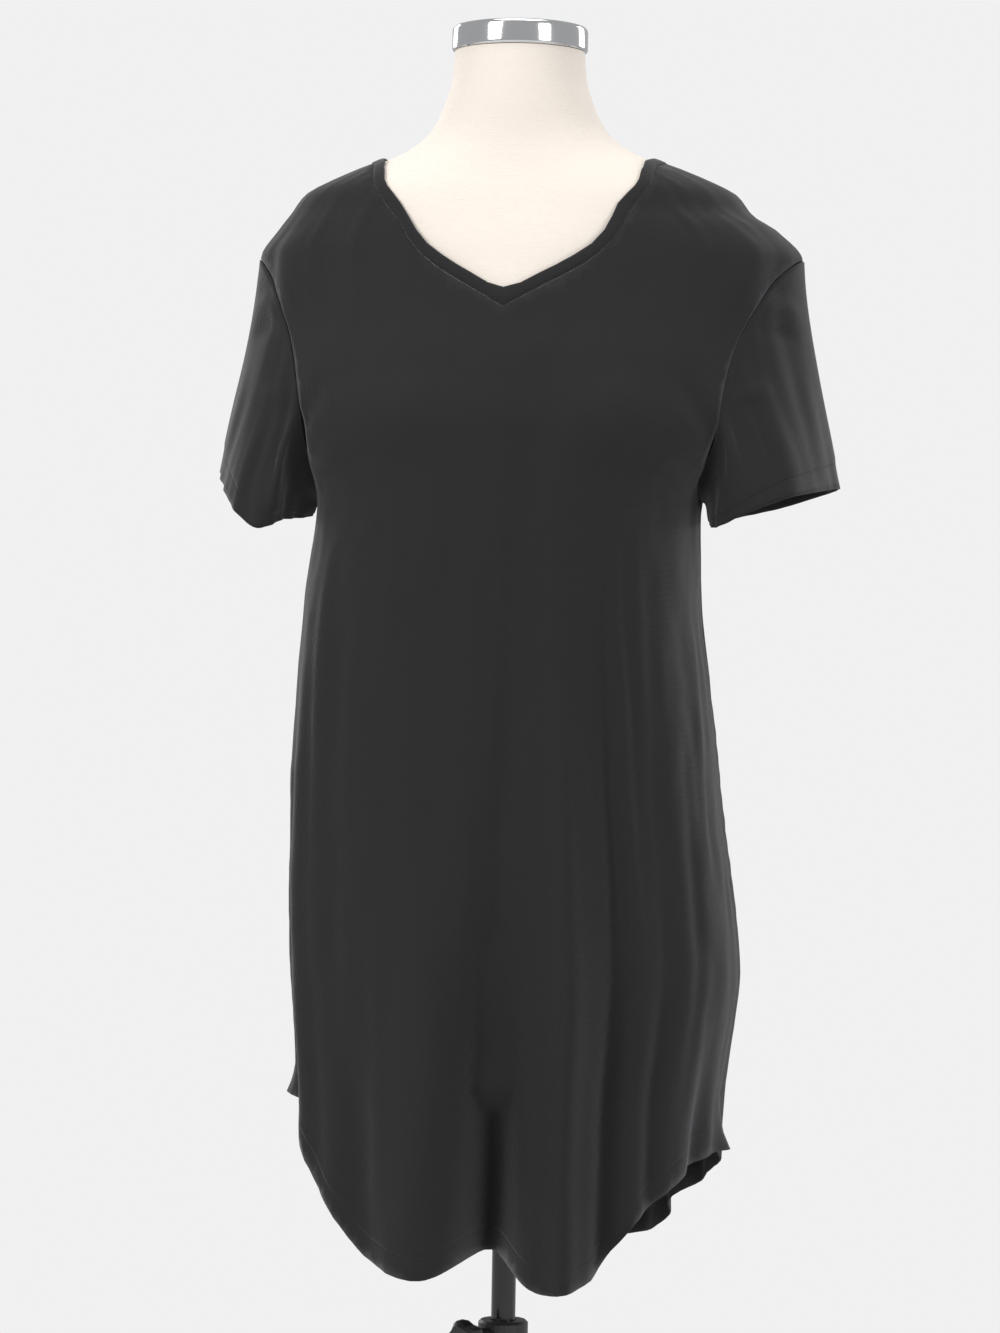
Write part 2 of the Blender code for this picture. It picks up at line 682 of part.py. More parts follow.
def sleeve(name, side, cuff_rows):
    """A short sleeve lofted from the armhole to its hem."""
    cuff = Table(CUFF_COLUMNS, cuff_rows, period=360.0)
    spots = armhole_spots(side, ARMHOLE_FRONT, SLEEVE_EDGE_SCALE)
    spots += armhole_spots(side, -ARMHOLE_BACK, SLEEVE_EDGE_SCALE)[-2:0:-1]
    starts = [shirt_surface(*spot) for spot in spots]
    bodies = [outward(shirt_surface, *spot) for spot in spots]

    def point(place, share):
        """The sleeve at a place round it, counted in points, and a share of the way to its hem."""
        i = math.floor(place) % SLEEVE_ROUND
        j = (i + 1) % SLEEVE_ROUND
        part = place - math.floor(place)
        start = starts[i].lerp(starts[j], part)
        out = bodies[i].lerp(bodies[j], part).normalized()
        round_angle = 360.0 * place / SLEEVE_ROUND
        end = Vector([cuff.at(axis, round_angle) for axis in ("x", "y", "z")])
        length = (end - start).length
        chord = (end - start).normalized()
        top = math.cos(math.radians(round_angle))
        leave = (chord - out * chord.dot(out) * 0.6).normalized()
        if top < 0.0:
            leave = leave.lerp(out, smooth(-1.4 * top)).normalized()
        arrive = chord * (1.0 - 0.5 * max(0.0, top)) + Vector((side * 0.16, 0.0, -1.0)) * 0.6
        arrive = arrive.normalized()
        t = share
        return (
            start * ((1.0 + 2.0 * t) * (1.0 - t) ** 2)
            + leave * (length * t * (1.0 - t) ** 2)
            + end * (t * t * (3.0 - 2.0 * t))
            - arrive * (length * t * t * (1.0 - t))
        )

    def normal(place, share):
        low = max(0.0, share - 0.03)
        high = min(1.0, share + 0.03)
        across = point(place + 0.25, share) - point(place - 0.25, share)
        along = point(place, high) - point(place, low)
        own = along.cross(across).normalized() * side
        return bodies[place].lerp(own, smooth(share / 0.12)).normalized()

    outer = []
    inner = []
    for row in range(SLEEVE_ROWS + 1):
        share = row / SLEEVE_ROWS
        for i in range(SLEEVE_ROUND):
            here = point(i, share)
            outer.append(here)
            inner.append(here - normal(i, share) * WALL)
    faces = []
    for row in range(SLEEVE_ROWS):
        for i in range(SLEEVE_ROUND):
            j = (i + 1) % SLEEVE_ROUND
            face = [row * SLEEVE_ROUND + i, row * SLEEVE_ROUND + j]
            face += [(row + 1) * SLEEVE_ROUND + j, (row + 1) * SLEEVE_ROUND + i]
            faces.append(face if side < 0.0 else face[::-1])
    return wall_object(name, outer, inner, faces, BLACK_JERSEY)


def finish_object(name, work, look):
    bmesh.ops.recalc_face_normals(work, faces=work.faces)
    mesh = bpy.data.meshes.new(name)
    work.to_mesh(mesh)
    work.free()
    mesh.shade_smooth()
    mesh.set_sharp_from_angle(angle=math.radians(35.0))
    thing = bpy.data.objects.new(name, mesh)
    thing.data.materials.append(material(look))
    bpy.context.scene.collection.objects.link(thing)
    return thing


def dress_form():
    """The torso and neck, lofted through the form's level sections and closed flat at both ends."""
    work = bmesh.new()
    heights = []
    for low, high in zip(FORM_LEVELS, FORM_LEVELS[1:]):
        parts = max(1, round((high[0] - low[0]) / 0.030))
        heights += sweep(low[0], high[0], parts)[:-1]
    heights.append(NECK_TOP)
    rings = []
    for height in heights:
        turns = [360.0 * i / FORM_SIDES for i in range(FORM_SIDES)]
        rings.append([work.verts.new(ring_point(FORM, turn, height)) for turn in turns])
    for low, high in zip(rings, rings[1:]):
        for i in range(FORM_SIDES):
            j = (i + 1) % FORM_SIDES
            work.faces.new([low[i], low[j], high[j], high[i]])
    work.faces.new(rings[0])
    work.faces.new(rings[-1])
    return finish_object("dress_form", work, CREAM_COVER)


def turned(name, profile, look, sides=ROUND_SIDES, centre=(0.0, 0.0)):
    """A piece turned about a vertical axis from a closed profile of (radius, height)."""
    work = bmesh.new()
    rings = []
    for radius, height in profile:
        if radius < 1e-6:
            rings.append([work.verts.new((centre[0], centre[1], height))])
            continue
        ring = []
        for i in range(sides):
            angle = 2.0 * math.pi * i / sides
            ring.append(work.verts.new((
                centre[0] + radius * math.cos(angle),
                centre[1] + radius * math.sin(angle),
                height,
            )))
        rings.append(ring)
    for a, b in zip(rings, rings[1:] + rings[:1]):
        for i in range(sides):
            j = (i + 1) % sides
            if len(a) == 1 and len(b) == 1:
                continue
            if len(a) == 1:
                work.faces.new([a[0], b[j], b[i]])
            elif len(b) == 1:
                work.faces.new([a[i], a[j], b[0]])
            else:
                work.faces.new([a[i], a[j], b[j], b[i]])
    return finish_object(name, work, look)


def neck_cap():
    bottom = NECK_TOP + TOUCH_GAP
    top = bottom + CAP_HEIGHT
    edge = 0.0016
    profile = [
        (0.0, bottom),
        (CAP_RADIUS - edge, bottom),
        (CAP_RADIUS, bottom + edge),
        (CAP_RADIUS, top - edge),
        (CAP_RADIUS - edge, top),
        (0.0, top + 0.001),
    ]
    return turned("neck_cap", profile, CHROME, sides=40, centre=(0.0, FORM.at("offset", NECK_TOP)))


def stand():
    """The stand from the floor up: base, tube, clamp collar, riser and the flange under the form."""
    base_profile = [
        (0.0, 0.0),
        (BASE_RADIUS - 0.002, 0.0),
        (BASE_RADIUS, 0.002),
        (BASE_RADIUS, 0.007),
        (BASE_RADIUS - 0.003, 0.010),
        (0.060, 0.014),
        (0.026, 0.018),
        (0.021, 0.022),
        (0.020, BASE_HUB_HEIGHT),
        (0.0, BASE_HUB_HEIGHT),
    ]
    turned("stand_base", base_profile, BLACK_STEEL, sides=36)
    tube_bottom = BASE_HUB_HEIGHT + TOUCH_GAP
    tube_profile = [
        (TUBE_BORE, tube_bottom),
        (TUBE_RADIUS, tube_bottom),
        (TUBE_RADIUS, TUBE_TOP - TOUCH_GAP),
        (TUBE_BORE, TUBE_TOP - TOUCH_GAP),
    ]
    turned("lower_tube", tube_profile, BLACK_STEEL)
    form_seat = FORM_BOTTOM - TOUCH_GAP
    riser_profile = [
        (0.0, RISER_BOTTOM),
        (RISER_RADIUS, RISER_BOTTOM),
        (RISER_RADIUS, form_seat),
        (0.0, form_seat),
    ]
    turned("riser_pole", riser_profile, BLACK_STEEL)
    flange_bore = RISER_RADIUS + 0.0004
    flange_bottom = form_seat - FLANGE_HEIGHT
    flange_profile = [
        (flange_bore, flange_bottom - 0.016),
        (0.0155, flange_bottom - 0.016),
        (0.0165, flange_bottom),
        (FLANGE_RADIUS, flange_bottom + 0.006),
        (FLANGE_RADIUS, form_seat),
        (flange_bore, form_seat),
    ]
    turned("form_flange", flange_profile, BLACK_STEEL)


def along_screw(distance):
    angle = math.radians(KNOB_TURN)
    middle = TUBE_TOP + 0.5 * COLLAR_HEIGHT
    return Vector((distance * math.sin(angle), -distance * math.cos(angle), middle))


def rod(name, radius, near, far, look, sides=24):
    """A round rod along the clamp screw's axis."""
    work = bmesh.new()
    way = (along_screw(1.0) - along_screw(0.0)).normalized()
    side = way.cross(Vector((0.0, 0.0, 1.0))).normalized()
    up = Vector((0.0, 0.0, 1.0))
    ends = []
    for distance in (near, far):
        ring = []
        for i in range(sides):
            angle = 2.0 * math.pi * i / sides
            arm = side * (radius * math.cos(angle)) + up * (radius * math.sin(angle))
            ring.append(work.verts.new(along_screw(distance) + arm))
        ends.append(ring)
    for i in range(sides):
        j = (i + 1) % sides
        work.faces.new([ends[0][i], ends[0][j], ends[1][j], ends[1][i]])
    work.faces.new(ends[0])
    work.faces.new(ends[1])
    return finish_object(name, work, look)


def boolean(thing, tool, operation):
    cut = thing.modifiers.new(operation.lower(), "BOOLEAN")
    cut.operation = operation
    cut.object = tool
    cut.solver = "EXACT"
    tool.hide_render = True
    tool.display_type = "WIRE"


def clamp_collar():
    """The collar on the tube, with the boss that takes the clamp screw."""
    collar_profile = [
        (TUBE_BORE, TUBE_TOP),
        (COLLAR_RADIUS - 0.001, TUBE_TOP),
        (COLLAR_RADIUS, TUBE_TOP + 0.001),
        (COLLAR_RADIUS, TUBE_TOP + COLLAR_HEIGHT - 0.002),
        (COLLAR_RADIUS - 0.002, TUBE_TOP + COLLAR_HEIGHT),
        (TUBE_BORE, TUBE_TOP + COLLAR_HEIGHT),
    ]
    collar = turned("clamp_collar", collar_profile, BLACK_PLASTIC)
    boolean(collar, rod("boss_guide", BOSS_RADIUS, 0.0135, BOSS_REACH, BLACK_PLASTIC), "UNION")
    boolean(collar, rod("screw_cutter", SCREW_BORE, 0.005, BOSS_REACH + 0.01, BLACK_PLASTIC), "DIFFERENCE")


def clamp_knob():
    """The star knob and its screw in one piece, turned about the screw's axis."""
    work = bmesh.new()
    way = (along_screw(1.0) - along_screw(0.0)).normalized()
    side = way.cross(Vector((0.0, 0.0, 1.0))).normalized()
    up = Vector((0.0, 0.0, 1.0))
    sides = KNOB_LOBES * 6
    near = RISER_RADIUS + TOUCH_GAP
    face = KNOB_DISTANCE
    sections = [
        (near, SCREW_RADIUS, 0.0),
        (face, SCREW_RADIUS, 0.0),
        (face, KNOB_RADIUS * 0.62, 0.0),
        (face + 0.002, KNOB_RADIUS * 0.90, 0.10),
        (face + 0.005, KNOB_RADIUS * 0.93, 0.12),
        (face + KNOB_LENGTH - 0.003, KNOB_RADIUS * 0.90, 0.12),
        (face + KNOB_LENGTH, KNOB_RADIUS * 0.72, 0.08),
    ]
    rings = []
    for distance, radius, lobe in sections:
        ring = []
        for i in range(sides):
            angle = 2.0 * math.pi * i / sides
            reach = radius * (1.0 + lobe * math.cos(KNOB_LOBES * angle))
            arm = side * (reach * math.cos(angle)) + up * (reach * math.sin(angle))
            ring.append(work.verts.new(along_screw(distance) + arm))
        rings.append(ring)
    for a, b in zip(rings, rings[1:]):
        for i in range(sides):
            j = (i + 1) % sides
            work.faces.new([a[i], a[j], b[j], b[i]])
    work.faces.new(rings[0])
    work.faces.new(rings[-1])
    return finish_object("clamp_knob", work, BLACK_PLASTIC)


def main():
    clear_scene()
    cloth_panel("front_panel", front_outline())
    cloth_panel("back_panel", back_outline())
    neckband()
    sleeve("left_sleeve", -1.0, LEFT_CUFF)
    sleeve("right_sleeve", 1.0, RIGHT_CUFF)
    dress_form()
    neck_cap()
    stand()
    clamp_collar()
    clamp_knob()


main()
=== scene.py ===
"""The black jersey nightshirt on its cream dress form, in a pale studio, seen as in the photograph.

Metres, +Z up, the shirt's front towards -Y. A "turn" is an angle about Z in degrees, counted from the
front centre: 90 is the viewer's right side, 180 the back. The shirt's pieces are thin sheets laid on the
same surface as the model's cloth solids, with the finer folds, turned hems and stitching added.
"""

import math  # noqa: E402

import bpy  # noqa: E402
from mathutils import Matrix, Vector, noise  # noqa: E402
from mathutils.geometry import delaunay_2d_cdt  # noqa: E402

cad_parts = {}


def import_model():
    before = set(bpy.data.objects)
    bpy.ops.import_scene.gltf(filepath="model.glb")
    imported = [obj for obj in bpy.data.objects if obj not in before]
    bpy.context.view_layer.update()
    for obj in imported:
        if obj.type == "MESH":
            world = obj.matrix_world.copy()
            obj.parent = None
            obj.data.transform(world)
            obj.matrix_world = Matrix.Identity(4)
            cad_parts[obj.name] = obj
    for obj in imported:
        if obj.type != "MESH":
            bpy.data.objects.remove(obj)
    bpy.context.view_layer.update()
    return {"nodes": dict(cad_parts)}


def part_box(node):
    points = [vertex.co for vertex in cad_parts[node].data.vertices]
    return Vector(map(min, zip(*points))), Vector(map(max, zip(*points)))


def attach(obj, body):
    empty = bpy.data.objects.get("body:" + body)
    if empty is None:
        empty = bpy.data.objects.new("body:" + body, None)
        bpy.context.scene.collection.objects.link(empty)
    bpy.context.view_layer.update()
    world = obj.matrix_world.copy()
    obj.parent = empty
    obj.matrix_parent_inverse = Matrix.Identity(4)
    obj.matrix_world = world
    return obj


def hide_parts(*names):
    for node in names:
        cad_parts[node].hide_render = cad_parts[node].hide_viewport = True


# Camera: the photograph is 1000 x 1333, and the form stands a little turned and leaning in it.
CAMERA_TURN = 7.5
CAMERA_DISTANCE = 3.2
CAMERA_HEIGHT = 1.035
CAMERA_ROLL = 0.95
CAMERA_SIDE_SHIFT = 0.0109
CAMERA_LENS = 110.8

# Cloth.
CLOTH_THICKNESS = 0.0011
SEAM_GAP = 0.0004
SIDE_SEAM_RADIUS = 0.110
BAND_WIDTH = 0.010
BAND_PROUD = 0.0006
HEM_TURN_UP = 0.018
HEM_EXTRA = 0.0007

# Cells that the panels are cut into, across and along the folds, and the girth's mean radius.
CELL_ACROSS = 0.0050
CELL_ALONG = 0.0085
SHOULDER_START = 1.345
SHOULDER_FINER = 1.9
GIRTH_RADIUS = 0.150
SLEEVE_ROUND = 120
SLEEVE_ROWS = 36

WALL = 0.0012
SEAT_LIFT = WALL + 0.0005
FORM_CLEARANCE = 0.0035
BELOW_FORM_ROOM = 1.2
BELOW_FORM_START = 0.030

# Garment levels. The underarm and the shoulder point are the armhole's bottom and top.
UNDERARM = 1.165
SHOULDER_POINT = 1.352
NECK_POINT = 1.4288
FRONT_NECK = 1.322
BACK_NECK = 1.412

# Half-openings of the armhole, in degrees of turn, at its front and back.
ARMHOLE_FRONT = 33.0
ARMHOLE_BACK = 27.0
ARMHOLE_ROUNDNESS = 2.3
ARMHOLE_METRES_PER_DEGREE = 0.0023
SLEEVE_EDGE_SCALE = 0.9905

# Dress form.
FORM_BOTTOM = 0.740
NECK_TOP = 1.510

# The form's level sections: half-width, front and back depth from the offset line, and squareness.
FORM_COLUMNS = ("height", "left", "right", "front", "back", "offset", "fullness")
FORM_LEVELS = [
    (0.740, 0.157, 0.157, 0.098, 0.097, 0.000, 0.04),
    (0.770, 0.161, 0.161, 0.102, 0.102, 0.000, 0.04),
    (0.810, 0.164, 0.164, 0.106, 0.106, 0.000, 0.04),
    (0.860, 0.161, 0.161, 0.106, 0.106, 0.000, 0.04),
    (0.920, 0.149, 0.149, 0.102, 0.098, 0.000, 0.03),
    (0.980, 0.129, 0.129, 0.095, 0.084, 0.000, 0.02),
    (1.030, 0.117, 0.117, 0.090, 0.075, 0.000, 0.02),
    (1.070, 0.119, 0.119, 0.095, 0.077, 0.000, 0.03),
    (1.120, 0.126, 0.126, 0.105, 0.083, 0.000, 0.05),
    (1.170, 0.136, 0.136, 0.118, 0.091, 0.000, 0.07),
    (1.210, 0.142, 0.142, 0.122, 0.095, 0.000, 0.07),
    (1.250, 0.151, 0.151, 0.115, 0.097, 0.000, 0.05),
    (1.290, 0.164, 0.164, 0.104, 0.097, 0.000, 0.03),
    (1.330, 0.176, 0.176, 0.094, 0.095, 0.000, 0.01),
    (1.365, 0.181, 0.181, 0.086, 0.090, -0.002, 0.00),
    (1.385, 0.179, 0.179, 0.080, 0.085, -0.004, 0.00),
    (1.400, 0.167, 0.167, 0.075, 0.079, -0.006, 0.00),
    (1.415, 0.136, 0.136, 0.068, 0.071, -0.009, 0.00),
    (1.4275, 0.102, 0.102, 0.062, 0.063, -0.013, 0.00),
    (1.436, 0.084, 0.084, 0.058, 0.059, -0.016, 0.00),
    (1.450, 0.068, 0.068, 0.055, 0.056, -0.019, 0.00),
    (1.467, 0.059, 0.059, 0.053, 0.054, -0.022, 0.00),
    (1.490, 0.052, 0.052, 0.0515, 0.0515, -0.024, 0.00),
    (1.510, 0.0505, 0.0505, 0.0505, 0.0505, -0.025, 0.00),
]

# The shirt's own level sections, up to where it lies on the form's shoulders.
SHIRT_LEVELS = [
    (0.540, 0.158, 0.160, 0.122, 0.108, 0.000, 0.06),
    (0.620, 0.160, 0.161, 0.123, 0.109, 0.000, 0.06),
    (0.700, 0.163, 0.165, 0.124, 0.111, 0.000, 0.06),
    (0.760, 0.168, 0.174, 0.125, 0.112, 0.000, 0.06),
    (0.800, 0.171, 0.178, 0.125, 0.112, 0.000, 0.06),
    (0.860, 0.173, 0.173, 0.124, 0.111, 0.000, 0.06),
    (0.930, 0.173, 0.163, 0.123, 0.107, 0.000, 0.06),
    (1.010, 0.170, 0.154, 0.122, 0.103, 0.000, 0.07),
    (1.090, 0.163, 0.145, 0.123, 0.101, 0.000, 0.08),
    (1.160, 0.154, 0.144, 0.125, 0.102, 0.000, 0.08),
    (1.215, 0.174, 0.176, 0.1255, 0.104, 0.000, 0.075),
    (1.263, 0.189, 0.193, 0.1165, 0.105, 0.000, 0.05),
    (1.300, 0.198, 0.206, 0.1060, 0.104, 0.000, 0.03),
    (1.330, 0.203, 0.215, 0.0985, 0.101, 0.000, 0.01),
    (1.352, 0.205, 0.220, 0.0935, 0.097, 0.000, 0.00),
    (1.374, 0.191, 0.201, 0.0870, 0.091, -0.002, 0.00),
]
SHOULDER_REST = 1.384

# The hem's height at each turn, all round.
HEM_COLUMNS = ("turn", "height")
HEM_EDGE = [
    (-180.0, 0.572),
    (-146.0, 0.588),
    (-118.0, 0.650),
    (-90.0, 0.700),
    (-65.0, 0.676),
    (-48.0, 0.622),
    (-33.0, 0.583),
    (-17.0, 0.573),
    (-1.0, 0.590),
    (16.0, 0.5645),
    (29.0, 0.574),
    (41.0, 0.618),
    (62.0, 0.653),
    (90.0, 0.665),
    (118.0, 0.632),
    (146.0, 0.584),
    (180.0, 0.572),
]

# The neckline's height against the turn from the front centre, which goes on round the back.
NECKLINE_COLUMNS = ("turn", "height")
FRONT_NECKLINE = [
    (0.0, FRONT_NECK),
    (8.0, 1.3350),
    (17.0, 1.3555),
    (27.0, 1.3865),
    (34.0, 1.4015),
    (46.0, 1.4165),
    (62.0, 1.4250),
    (90.0, NECK_POINT),
]
BACK_NECKLINE = [
    (90.0, NECK_POINT),
    (118.0, 1.4270),
    (140.0, 1.4210),
    (160.0, 1.4145),
    (180.0, BACK_NECK),
]

# Folds that run up from the hem: the turn at the hem and at the fold's top, how far the fold spreads to
# its left and right in degrees, how far it stands out (or in, if negative), and the heights between
# which it grows from nothing to its full depth.
FOLD_COLUMNS = ("hem_turn", "top_turn", "left", "right", "depth", "full", "top")
BODY_FOLDS = [
    (-1.0, 3.0, 11.0, 15.0, -0.040, 0.600, 0.900),
    (-2.0, 4.0, 7.0, 12.0, -0.010, 0.800, 1.130),
    (-19.0, -12.0, 16.0, 11.0, 0.012, 0.640, 0.980),
    (21.0, 18.0, 6.5, 6.5, 0.015, 0.700, 1.110),
    (33.0, 29.0, 6.5, 7.0, -0.016, 0.720, 1.150),
    (46.0, 42.0, 4.5, 5.0, -0.005, 0.860, 1.120),
    (-36.0, -40.0, 11.0, 11.0, -0.006, 0.640, 0.880),
    (-59.0, -58.0, 8.0, 8.0, 0.006, 0.860, 1.120),
    (-76.0, -74.0, 8.0, 8.0, -0.009, 0.800, 1.120),
    (66.0, 70.0, 9.0, 9.0, -0.010, 0.600, 0.820),
    (104.0, 106.0, 9.0, 9.0, 0.006, 0.640, 0.960),
    (126.0, 130.0, 10.0, 9.0, -0.018, 0.600, 0.960),
    (147.0, 146.0, 9.0, 10.0, 0.012, 0.620, 1.020),
    (172.0, 170.0, 11.0, 12.0, -0.030, 0.590, 0.900),
    (172.0, 170.0, 8.0, 9.0, -0.006, 0.780, 1.140),
    (-164.0, -162.0, 9.0, 10.0, 0.012, 0.620, 1.060),
    (-141.0, -146.0, 9.0, 9.0, -0.020, 0.600, 0.980),
    (-119.0, -116.0, 9.0, 9.0, 0.008, 0.640, 1.000),
    (-103.0, -104.0, 7.0, 7.0, -0.006, 0.640, 0.960),
]

# Ridges where the shoulder's front and back turn towards the sleeve.
RIDGE_COLUMNS = ("turn", "spread", "depth", "centre", "reach")
SHOULDER_RIDGES = [
    (57.0, 12.0, 0.0050, 1.335, 0.055),
    (-57.0, 12.0, 0.0050, 1.335, 0.055),
    (125.0, 13.0, 0.0040, 1.330, 0.055),
    (-125.0, 13.0, 0.0040, 1.330, 0.055),
]

# The side seam's lower corners turn outwards.
CORNER_FLARE = 0.011
CORNER_SPREAD = 11.0
CORNER_REACH = 0.016

# The sleeve's hem, round from its outer top edge by way of the front: where it lies.
CUFF_COLUMNS = ("round", "x", "y", "z")
LEFT_CUFF = [
    (0.0, -0.2370, 0.016, 1.186),
    (45.0, -0.2235, -0.042, 1.169),
    (75.0, -0.2085, -0.072, 1.150),
    (98.0, -0.1900, -0.079, 1.138),
    (128.0, -0.1740, -0.064, 1.145),
    (180.0, -0.1630, -0.005, 1.150),
    (228.0, -0.1740, 0.050, 1.157),
    (270.0, -0.2030, 0.070, 1.168),
    (318.0, -0.2290, 0.054, 1.181),
]
RIGHT_CUFF = [
    (0.0, 0.2500, 0.014, 1.177),
    (45.0, 0.2370, -0.040, 1.172),
    (75.0, 0.2165, -0.074, 1.166),
    (98.0, 0.1930, -0.077, 1.157),
    (132.0, 0.1600, -0.064, 1.143),
    (180.0, 0.1530, -0.004, 1.149),
    (228.0, 0.1650, 0.050, 1.154),
    (270.0, 0.2030, 0.070, 1.164),
    (318.0, 0.2370, 0.056, 1.174),
]


def smooth(x):
    """0 below 0, 1 above 1, and a soft step between."""
    x = min(1.0, max(0.0, x))
    return x * x * (3.0 - 2.0 * x)


def bell(distance, spread):
    """1 at the middle, falling softly to 0 at the spread."""
    if abs(distance) >= spread:
        return 0.0
    return 0.5 * (1.0 + math.cos(math.pi * distance / spread))


def wrap(turn):
    """The same turn between -180 and 180."""
    return (turn + 180.0) % 360.0 - 180.0


def slopes(rows, column, period=None):
    """A table column's slope at each row, which never overshoots the rows."""
    count = len(rows)
    found = []
    for i in range(count):
        before = i - 1
        after = i + 1
        if period is None and (before < 0 or after >= count):
            found.append(0.0)
            continue
        here = rows[i]
        low = rows[before % count]
        high = rows[after % count]
        low_key = low[0] - (period if before < 0 else 0.0)
        high_key = high[0] + (period if after >= count else 0.0)
        left = (here[column] - low[column]) / (here[0] - low_key)
        right = (high[column] - here[column]) / (high_key - here[0])
        if left * right <= 0.0:
            found.append(0.0)
        else:
            found.append(2.0 * left * right / (left + right))
    return found


class Table:
    """Rows of named columns, the first of them the key, read between the rows along smooth curves."""

    def __init__(self, columns, rows, period=None):
        self.rows = rows
        self.period = period
        self.index = {name: i for i, name in enumerate(columns)}
        self.slope = {name: slopes(rows, i, period) for name, i in self.index.items() if i}

    def at(self, name, key):
        column = self.index[name]
        rows = self.rows
        count = len(rows)
        if self.period is not None:
            key = rows[0][0] + (key - rows[0][0]) % self.period
        elif key <= rows[0][0]:
            return rows[0][column]
        elif key >= rows[-1][0]:
            return rows[-1][column]
        last = count - 1
        i = 0
        while i < last and rows[i + 1][0] <= key:
            i += 1
        j = (i + 1) % count
        end = rows[j][0] + (self.period if j == 0 else 0.0)
        length = end - rows[i][0]
        t = (key - rows[i][0]) / length
        curve = self.slope[name]
        return (
            rows[i][column] * (1.0 + 2.0 * t) * (1.0 - t) ** 2
            + rows[j][column] * t * t * (3.0 - 2.0 * t)
            + curve[i] * length * t * (1.0 - t) ** 2
            - curve[j] * length * t * t * (1.0 - t)
        )


def lifted(row):
    """A level of the form, lifted and grown so that the cloth lies on it."""
    height, left, right, front, back, offset, fullness = row
    grown = [size + SEAT_LIFT for size in (left, right, front, back)]
    return (height + SEAT_LIFT, *grown, offset, fullness)


FORM = Table(FORM_COLUMNS, FORM_LEVELS)
SHIRT = Table(FORM_COLUMNS, SHIRT_LEVELS + [lifted(row) for row in FORM_LEVELS if row[0] > SHOULDER_REST])
HEM = Table(HEM_COLUMNS, HEM_EDGE)
FRONT_NECK_EDGE = Table(NECKLINE_COLUMNS, FRONT_NECKLINE)
BACK_NECK_EDGE = Table(NECKLINE_COLUMNS, BACK_NECKLINE)


def ring_point(levels, turn, height):
    """A point of a level section: half an ellipse in front, half behind, filled out towards its corners."""
    angle = math.radians(turn)
    across = math.sin(angle)
    along = -math.cos(angle)
    width = levels.at("right" if across > 0.0 else "left", height)
    depth = levels.at("back" if along > 0.0 else "front", height)
    full = 1.0 + levels.at("fullness", height) * math.sin(2.0 * angle) ** 2
    return Vector((width * across * full, depth * along * full + levels.at("offset", height), height))


def outward(surface, turn, height):
    """The surface's unit normal, pointing away from the body."""
    step_turn = 0.4
    step_height = 0.002
    across = surface(turn + step_turn, height) - surface(turn - step_turn, height)
    along = surface(turn, height + step_height) - surface(turn, height - step_height)
    return across.cross(along).normalized()


def fold_depth(turn, height):
    """How far all the folds together move the cloth out or in."""
    total = 0.0
    for hem_turn, top_turn, left, right, depth, full, top in BODY_FOLDS:
        grown = smooth((top - height) / (top - full))
        if grown == 0.0:
            continue
        share = min(1.0, max(0.0, (height - HEM.rows[9][1]) / (top - HEM.rows[9][1])))
        away = wrap(turn - hem_turn - (top_turn - hem_turn) * share)
        total += depth * grown * bell(away, left if away < 0.0 else right)
    for centre_turn, spread, depth, centre, reach in SHOULDER_RIDGES:
        total += depth * bell(wrap(turn - centre_turn), spread) * bell(height - centre, reach)
    above_hem = max(0.0, height - HEM.at("height", turn))
    for side in (-90.0, 90.0):
        total += CORNER_FLARE * bell(wrap(turn - side), CORNER_SPREAD) * math.exp(-above_hem / CORNER_REACH)
    return total


def shirt_base(turn, height):
    return ring_point(SHIRT, turn, height)


def shirt_surface(turn, height):
    """The outer face of the shirt's body, folds and all."""
    base = shirt_base(turn, height)
    depth = fold_depth(turn, height)
    if depth == 0.0:
        return base
    out = outward(shirt_base, turn, height)
    if height < SHOULDER_REST:
        under = ring_point(FORM, turn, max(height, FORM_BOTTOM))
        below = max(0.0, FORM_BOTTOM - BELOW_FORM_START - height)
        room = (base - under).dot(out) - WALL - FORM_CLEARANCE + BELOW_FORM_ROOM * below
        depth = max(depth, min(0.0, -room))
    return base + out * depth


def armhole_shape(opening):
    """Points evenly along half an armhole, as shares of its height and opening, from the top down."""
    reach_up = 0.5 * (SHOULDER_POINT - UNDERARM)
    reach_out = abs(opening) * ARMHOLE_METRES_PER_DEGREE
    power = 2.0 / ARMHOLE_ROUNDNESS
    fine = []
    for angle in sweep(0.0, 180.0, 720):
        up = math.cos(math.radians(angle))
        up = math.copysign(abs(up) ** power, up)
        fine.append((up, abs(math.sin(math.radians(angle))) ** power))
    walked = [0.0]
    for a, b in zip(fine, fine[1:]):
        walked.append(walked[-1] + math.hypot((b[0] - a[0]) * reach_up, (b[1] - a[1]) * reach_out))
    count = SLEEVE_ROUND // 2
    shape = []
    i = 0
    for n in range(count + 1):
        while walked[i] < walked[-1] * n / count - 1e-9:
            i += 1
        shape.append(fine[i])
    shape[-1] = (-1.0, 0.0)
    return shape


def armhole_spots(side, opening, scale=1.0):
    """Half an armhole in (turn, height) from the top down; a scale below 1 gives the sleeve's own edge."""
    middle = 0.5 * (UNDERARM + SHOULDER_POINT)
    reach = 0.5 * (SHOULDER_POINT - UNDERARM)
    return [
        (side * (90.0 - opening * scale * out), middle + reach * scale * up)
        for up, out in armhole_shape(opening)
    ]


FRONT_NECK_TURNS = [90.0 * i / 26 for i in range(1, 27)]
BACK_NECK_TURNS = [90.0 + 90.0 * i / 20 for i in range(21)]


def neck_height(turn):
    turn = abs(wrap(turn))
    edge = FRONT_NECK_EDGE if turn <= 90.0 else BACK_NECK_EDGE
    return edge.at("height", turn)


